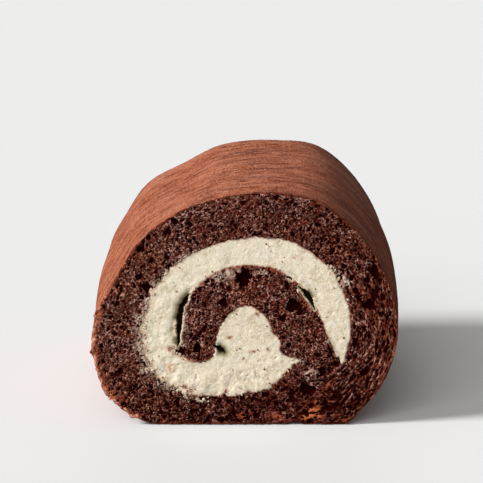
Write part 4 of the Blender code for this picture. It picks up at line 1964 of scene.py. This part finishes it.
@dataclass
class Morsels:
    """Crumbs that the knife dragged over the cream, and bits of cream on the crumb.

    Attributes:
        roll: The roll's form.
        cut: The food at each place of the front cut.
        loose: How many crumbs lie on the cream.
        flecks: How many bits of cream lie along its borders.
        per_cluster: How many more lie in a cluster with an amount of 1.
        clusters: Where those lie.
        seed: Which random places.
    """

    roll: RollForm
    cut: CutMap
    loose: int = 90
    flecks: int = 60
    per_cluster: int = 8
    clusters: Spots = (
        Spot(28.6, 51.2, 2.6, 0.9, 1.0, -42.0), Spot(32.6, 47.6, 1.6, 1.4, 0.9, -30.0),
        Spot(33.4, 43.0, 1.2, 1.6, 0.5), Spot(-20.4, 7.4, 1.8, 1.3, 1.1, 20.0),
        Spot(-14.6, 8.0, 3.4, 0.8, 1.1), Spot(0.6, 9.6, 1.4, 0.5, 0.4),
        Spot(16.6, 21.3, 1.8, 0.8, 0.6, -12.0), Spot(-33.6, 33.0, 1.6, 5.0, 1.0),
        Spot(-32.2, 20.5, 2.2, 4.0, 1.1, 25.0), Spot(-27.0, 13.0, 3.2, 1.6, 0.9, -32.0),
    )
    seed: int = 77
    _random: np.random.Generator = later()

    def __post_init__(self) -> None:
        """Start the random draws."""
        self._random = np.random.default_rng(self.seed)

    def built(self, crumb: Material, cream: Material) -> list[Piece]:
        """Build the loose crumbs and the bits of cream.

        Args:
            crumb: The crumb's finish.
            cream: The cream's finish.

        Returns:
            The two pieces.
        """
        crumb_values = {"pit_shade": 0.12, "browned": 0.65, "lit": 1.0}
        loose = self._made("crumbs_loose", self._loose_crumbs(), crumb_values, crumb)
        bits = self._made("cream_bits", self._cream_bits(), {"stained": 0.34, "hollow_shade": 0.0}, cream)
        return [loose, bits]

    def _picked(self, chance: Values, count: int) -> list[tuple[float, float]]:
        """Return random places of the cut.

        Args:
            chance: How likely each place of the lattice is.
            count: How many places to pick.

        Returns:
            The places.
        """
        x, z = (grid.ravel() for grid in self.cut.places())
        share = chance.ravel() / chance.ravel().sum()
        picks = self._random.choice(share.size, count, replace=False, p=share)
        return [(float(x[place]), float(z[place])) for place in picks]

    def _loose_crumbs(self) -> list[Morsel]:
        """Strew crumbs on the cream, most of them near its borders.

        Returns:
            The crumbs.
        """
        x, z = self.cut.places()
        near = np.exp(-self.cut.to_sponge / 0.9) + 0.035
        fuzzy = 0.3 + rising(-x, 12.0, 18.0) + 0.7 * falling(z, 20.0, 8.0)
        chance = near * fuzzy * self.cut.cream * (self.cut.to_pocket > 1.0)
        morsels = []
        for right, up in self._picked(chance, self.loose):
            size = self._random.uniform(0.10, 0.30) * self._random.uniform(0.7, 1.3, 3)
            morsels.append(Morsel(right, up, 0.22, tuple(size), self._random.uniform(0.0, 180.0)))
        return morsels

    def _cream_bits(self) -> list[Morsel]:
        """Strew bits of cream along its borders and in clusters.

        Returns:
            The bits.
        """
        x, z = self.cut.places()
        near = np.exp(-self.cut.to_cream / 0.35)
        fuzzy = 0.12 + rising(-x, 12.0, 18.0) + 0.6 * falling(z, 20.0, 8.0)
        spots = self._picked(near * fuzzy * self.cut.sponge * (self.cut.to_cream < 1.4), self.flecks)
        for cluster in self.clusters:
            for _ in range(int(self.per_cluster * cluster.amount)):
                along = self._random.normal(0.0, 0.5) * cluster.width
                across = self._random.normal(0.0, 0.5) * cluster.height
                right, up = turned(along, across, cluster.lean)
                spots.append((cluster.x + right, cluster.z + up))
        morsels = []
        for right, up in spots:
            size = self._random.uniform(0.18, 0.50) * self._random.uniform(0.5, 1.5, 3) * (1.3, 0.6, 0.8)
            depth = self._random.uniform(0.20, 0.45)
            morsels.append(Morsel(right, up, depth, tuple(size), self._random.uniform(0.0, 180.0)))
        return morsels

    def _made(
        self, name: str, morsels: Sequence[Morsel], values: dict[str, float], material: Material
    ) -> Piece:
        """Return one piece that holds every lump.

        Args:
            name: The piece's name.
            morsels: The lumps.
            values: What the finish reads from the mesh.
            material: The finish.

        Returns:
            The piece.
        """
        ball = bmesh.new()
        bmesh.ops.create_icosphere(ball, subdivisions=2, radius=1.0)
        form = np.array([corner.co[:] for corner in ball.verts])
        form_faces = [[corner.index for corner in face.verts] for face in ball.faces]
        ball.free()
        corners, faces = [], []
        for number, morsel in enumerate(morsels):
            uneven = 1.0 + self._random.uniform(-0.28, 0.28, len(form))
            lumpy = form * uneven[:, None] * np.array(morsel.size)
            across, up = turned(lumpy[:, 0], lumpy[:, 2], morsel.lean)
            deep = morsel.depth + lumpy[:, 1] - self.roll.length / 2.0
            corners.append(np.column_stack([across + morsel.x, deep, np.maximum(up + morsel.z, 0.05)]))
            faces += [[corner + number * len(form) for corner in face] for face in form_faces]
        joined = np.vstack(corners)
        spread = {key: np.full(len(joined), amount) for key, amount in values.items()}
        spread["crumb_place"] = joined * MM
        return MeshParts(joined, faces, spread).made(name, material)


# ---- the studio ----


@dataclass
class Studio:
    """A pale floor, soft light and the camera.

    Attributes:
        camera_place: Where the camera stands, in metres.
        camera_tilt: How far the camera looks down, in degrees.
        lens: The lens, in millimetres on a 36 mm sensor.
        floor_colour: The floor as it is seen.
        floor_bounce: The weaker light that the floor throws back on the roll.
        floor_half: Half the floor's width, in metres.
        floor_drop: How far below the roll the floor lies, in metres.
    """

    camera_place: tuple[float, float, float] = (-0.00205, -0.9695, 0.1888)
    camera_tilt: float = 8.18
    lens: float = 202.96
    floor_colour: Colour = (0.94, 0.94, 0.94, 1.0)
    floor_bounce: Colour = (0.22, 0.22, 0.22, 1.0)
    floor_half: float = 12.0
    floor_drop: float = 0.0003

    def built(self) -> None:
        """Build the studio."""
        self._camera()
        self._floor()
        self._lights()

    def _camera(self) -> None:
        """Place the camera in front of the cut face and a little above it."""
        data = bpy.data.cameras.new("camera")
        data.lens = self.lens
        data.sensor_width = 36.0
        data.clip_start, data.clip_end = 0.05, 30.0
        camera = shown("camera", data)
        camera.location = self.camera_place
        camera.rotation_euler = (math.radians(90.0 - self.camera_tilt), 0.0, 0.0)
        bpy.context.scene.camera = camera

    def _floor(self) -> None:
        """Lay a plain pale floor under the roll."""
        mesh = bpy.data.meshes.new("floor")
        half = self.floor_half
        outline = ((-half, -half), (half, -half), (half, half), (-half, half))
        corners = [(x, y, -self.floor_drop) for x, y in outline]
        mesh.from_pydata(corners, [], [(0, 1, 2, 3)])
        material, wiring, shader = started_material("pale floor")
        seen = wiring.node("ShaderNodeLightPath").outputs["Is Camera Ray"]
        colour = wiring.blend(seen, self.floor_bounce, self.floor_colour)
        wiring.feed(shader, "Base Color", colour)
        shader.inputs["Roughness"].default_value = 0.9
        mesh.materials.append(material)
        shown("floor", mesh)

    def _sun(self, name: str, strength: float, angle: float, heading: tuple[float, float, float]) -> None:
        """Add one soft lamp far away.

        Args:
            name: The lamp's name.
            strength: How strong it is.
            angle: How wide it looks from the roll, in degrees.
            heading: Which way its light goes.
        """
        data = bpy.data.lights.new(name, "SUN")
        data.energy = strength
        data.angle = math.radians(angle)
        lamp = shown(name, data)
        lamp.rotation_euler = Vector(heading).to_track_quat("-Z", "Y").to_euler()

    def _lights(self) -> None:
        """Light the roll mostly from the upper left, with a weaker light on its face."""
        self._sun("window light", 3.3, 22.0, (0.78, 0.33, -0.52))
        self._sun("face light", 1.5, 40.0, (0.25, 1.0, -0.45))
        self._sun("back light", 0.5, 40.0, (0.0, -1.0, -0.3))
        world = bpy.data.worlds.new("studio air")
        world.use_nodes = True
        sky = world.node_tree.nodes["Background"]
        sky.inputs["Color"].default_value = (1.0, 0.96, 0.92, 1.0)
        sky.inputs["Strength"].default_value = 0.12
        bpy.context.scene.world = world
        bpy.context.scene.view_settings.view_transform = "Standard"


# Where cream presses into the crumb of the cuts, or crumb into the cream.
PRESSES = (
    Spot(16.4, 21.3, 2.4, 0.75, 4.4, -12.0), Spot(15.0, 20.4, 2.0, 2.0, 1.6),
    Spot(11.7, 24.7, 2.0, 1.6, -1.9), Spot(8.4, 31.6, 1.5, 2.0, -0.9), Spot(-24.0, 23.8, 1.9, 1.5, -2.6),
    Spot(-25.8, 25.6, 1.8, 0.55, -4.0, 8.0), Spot(-20.6, 7.8, 1.6, 1.3, 1.6),
    Spot(27.6, 50.9, 3.2, 1.0, 1.5, -42.0), Spot(-19.3, 44.9, 0.9, 0.9, -1.4),
    Spot(3.5, 13.0, 1.6, 1.2, -0.9), Spot(31.0, 21.6, 1.1, 2.0, 2.6, 20.0),
)
# The air gaps that show on the cuts.
CRACKS = (
    Crack((
        (-19.05, 43.9, 0.1), (-20.3, 41.9, 0.6), (-21.9, 38.9, 0.85), (-22.6, 34.6, 0.9),
        (-22.8, 31.0, 0.75), (-22.8, 27.4, 0.45), (-23.1, 25.8, 0.2),
    )),
    Crack((
        (16.8, 46.2, 0.1), (18.4, 44.8, 0.55), (20.0, 42.8, 0.85), (21.3, 40.5, 0.65), (22.3, 38.4, 0.1),
    )),
    Crack(((13.1, 49.4, 0.3), (14.5, 48.5, 0.3))),
    Crack(((26.0, 28.4, 0.05), (27.2, 25.2, 0.13), (28.7, 22.0, 0.16), (30.2, 19.2, 0.12))),
    Crack(((-10.9, 26.3, 0.3), (-9.6, 25.4, 0.75), (-8.6, 24.7, 0.6), (-7.6, 24.1, 0.2))),
)


def main() -> None:
    """Build the swiss roll and its studio."""
    logging.basicConfig(level=logging.INFO, format="%(message)s")
    roll = RollForm()
    Studio().built()
    crumb = CrumbFinish().made()
    skin = CrustFinish().made()
    whipped = CreamFinish().made()
    front = CutMap(roll, 101, PRESSES, CRACKS)
    back = CutMap(roll, 101, PRESSES, CRACKS, 0.32)
    pieces = Crumb(roll, front, back).built(crumb) + Crust(roll).built(skin)
    pieces += Cream(roll, front).built(whipped) + Morsels(roll, front).built(crumb, whipped)
    for piece in pieces:
        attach(piece, BODY)
        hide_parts("cream" if piece.name.startswith("cream") else "sponge")
        LOG.info("%s: %d corners, %d faces", piece.name, len(piece.data.vertices), len(piece.data.polygons))


if __name__ == "__main__":
    main()
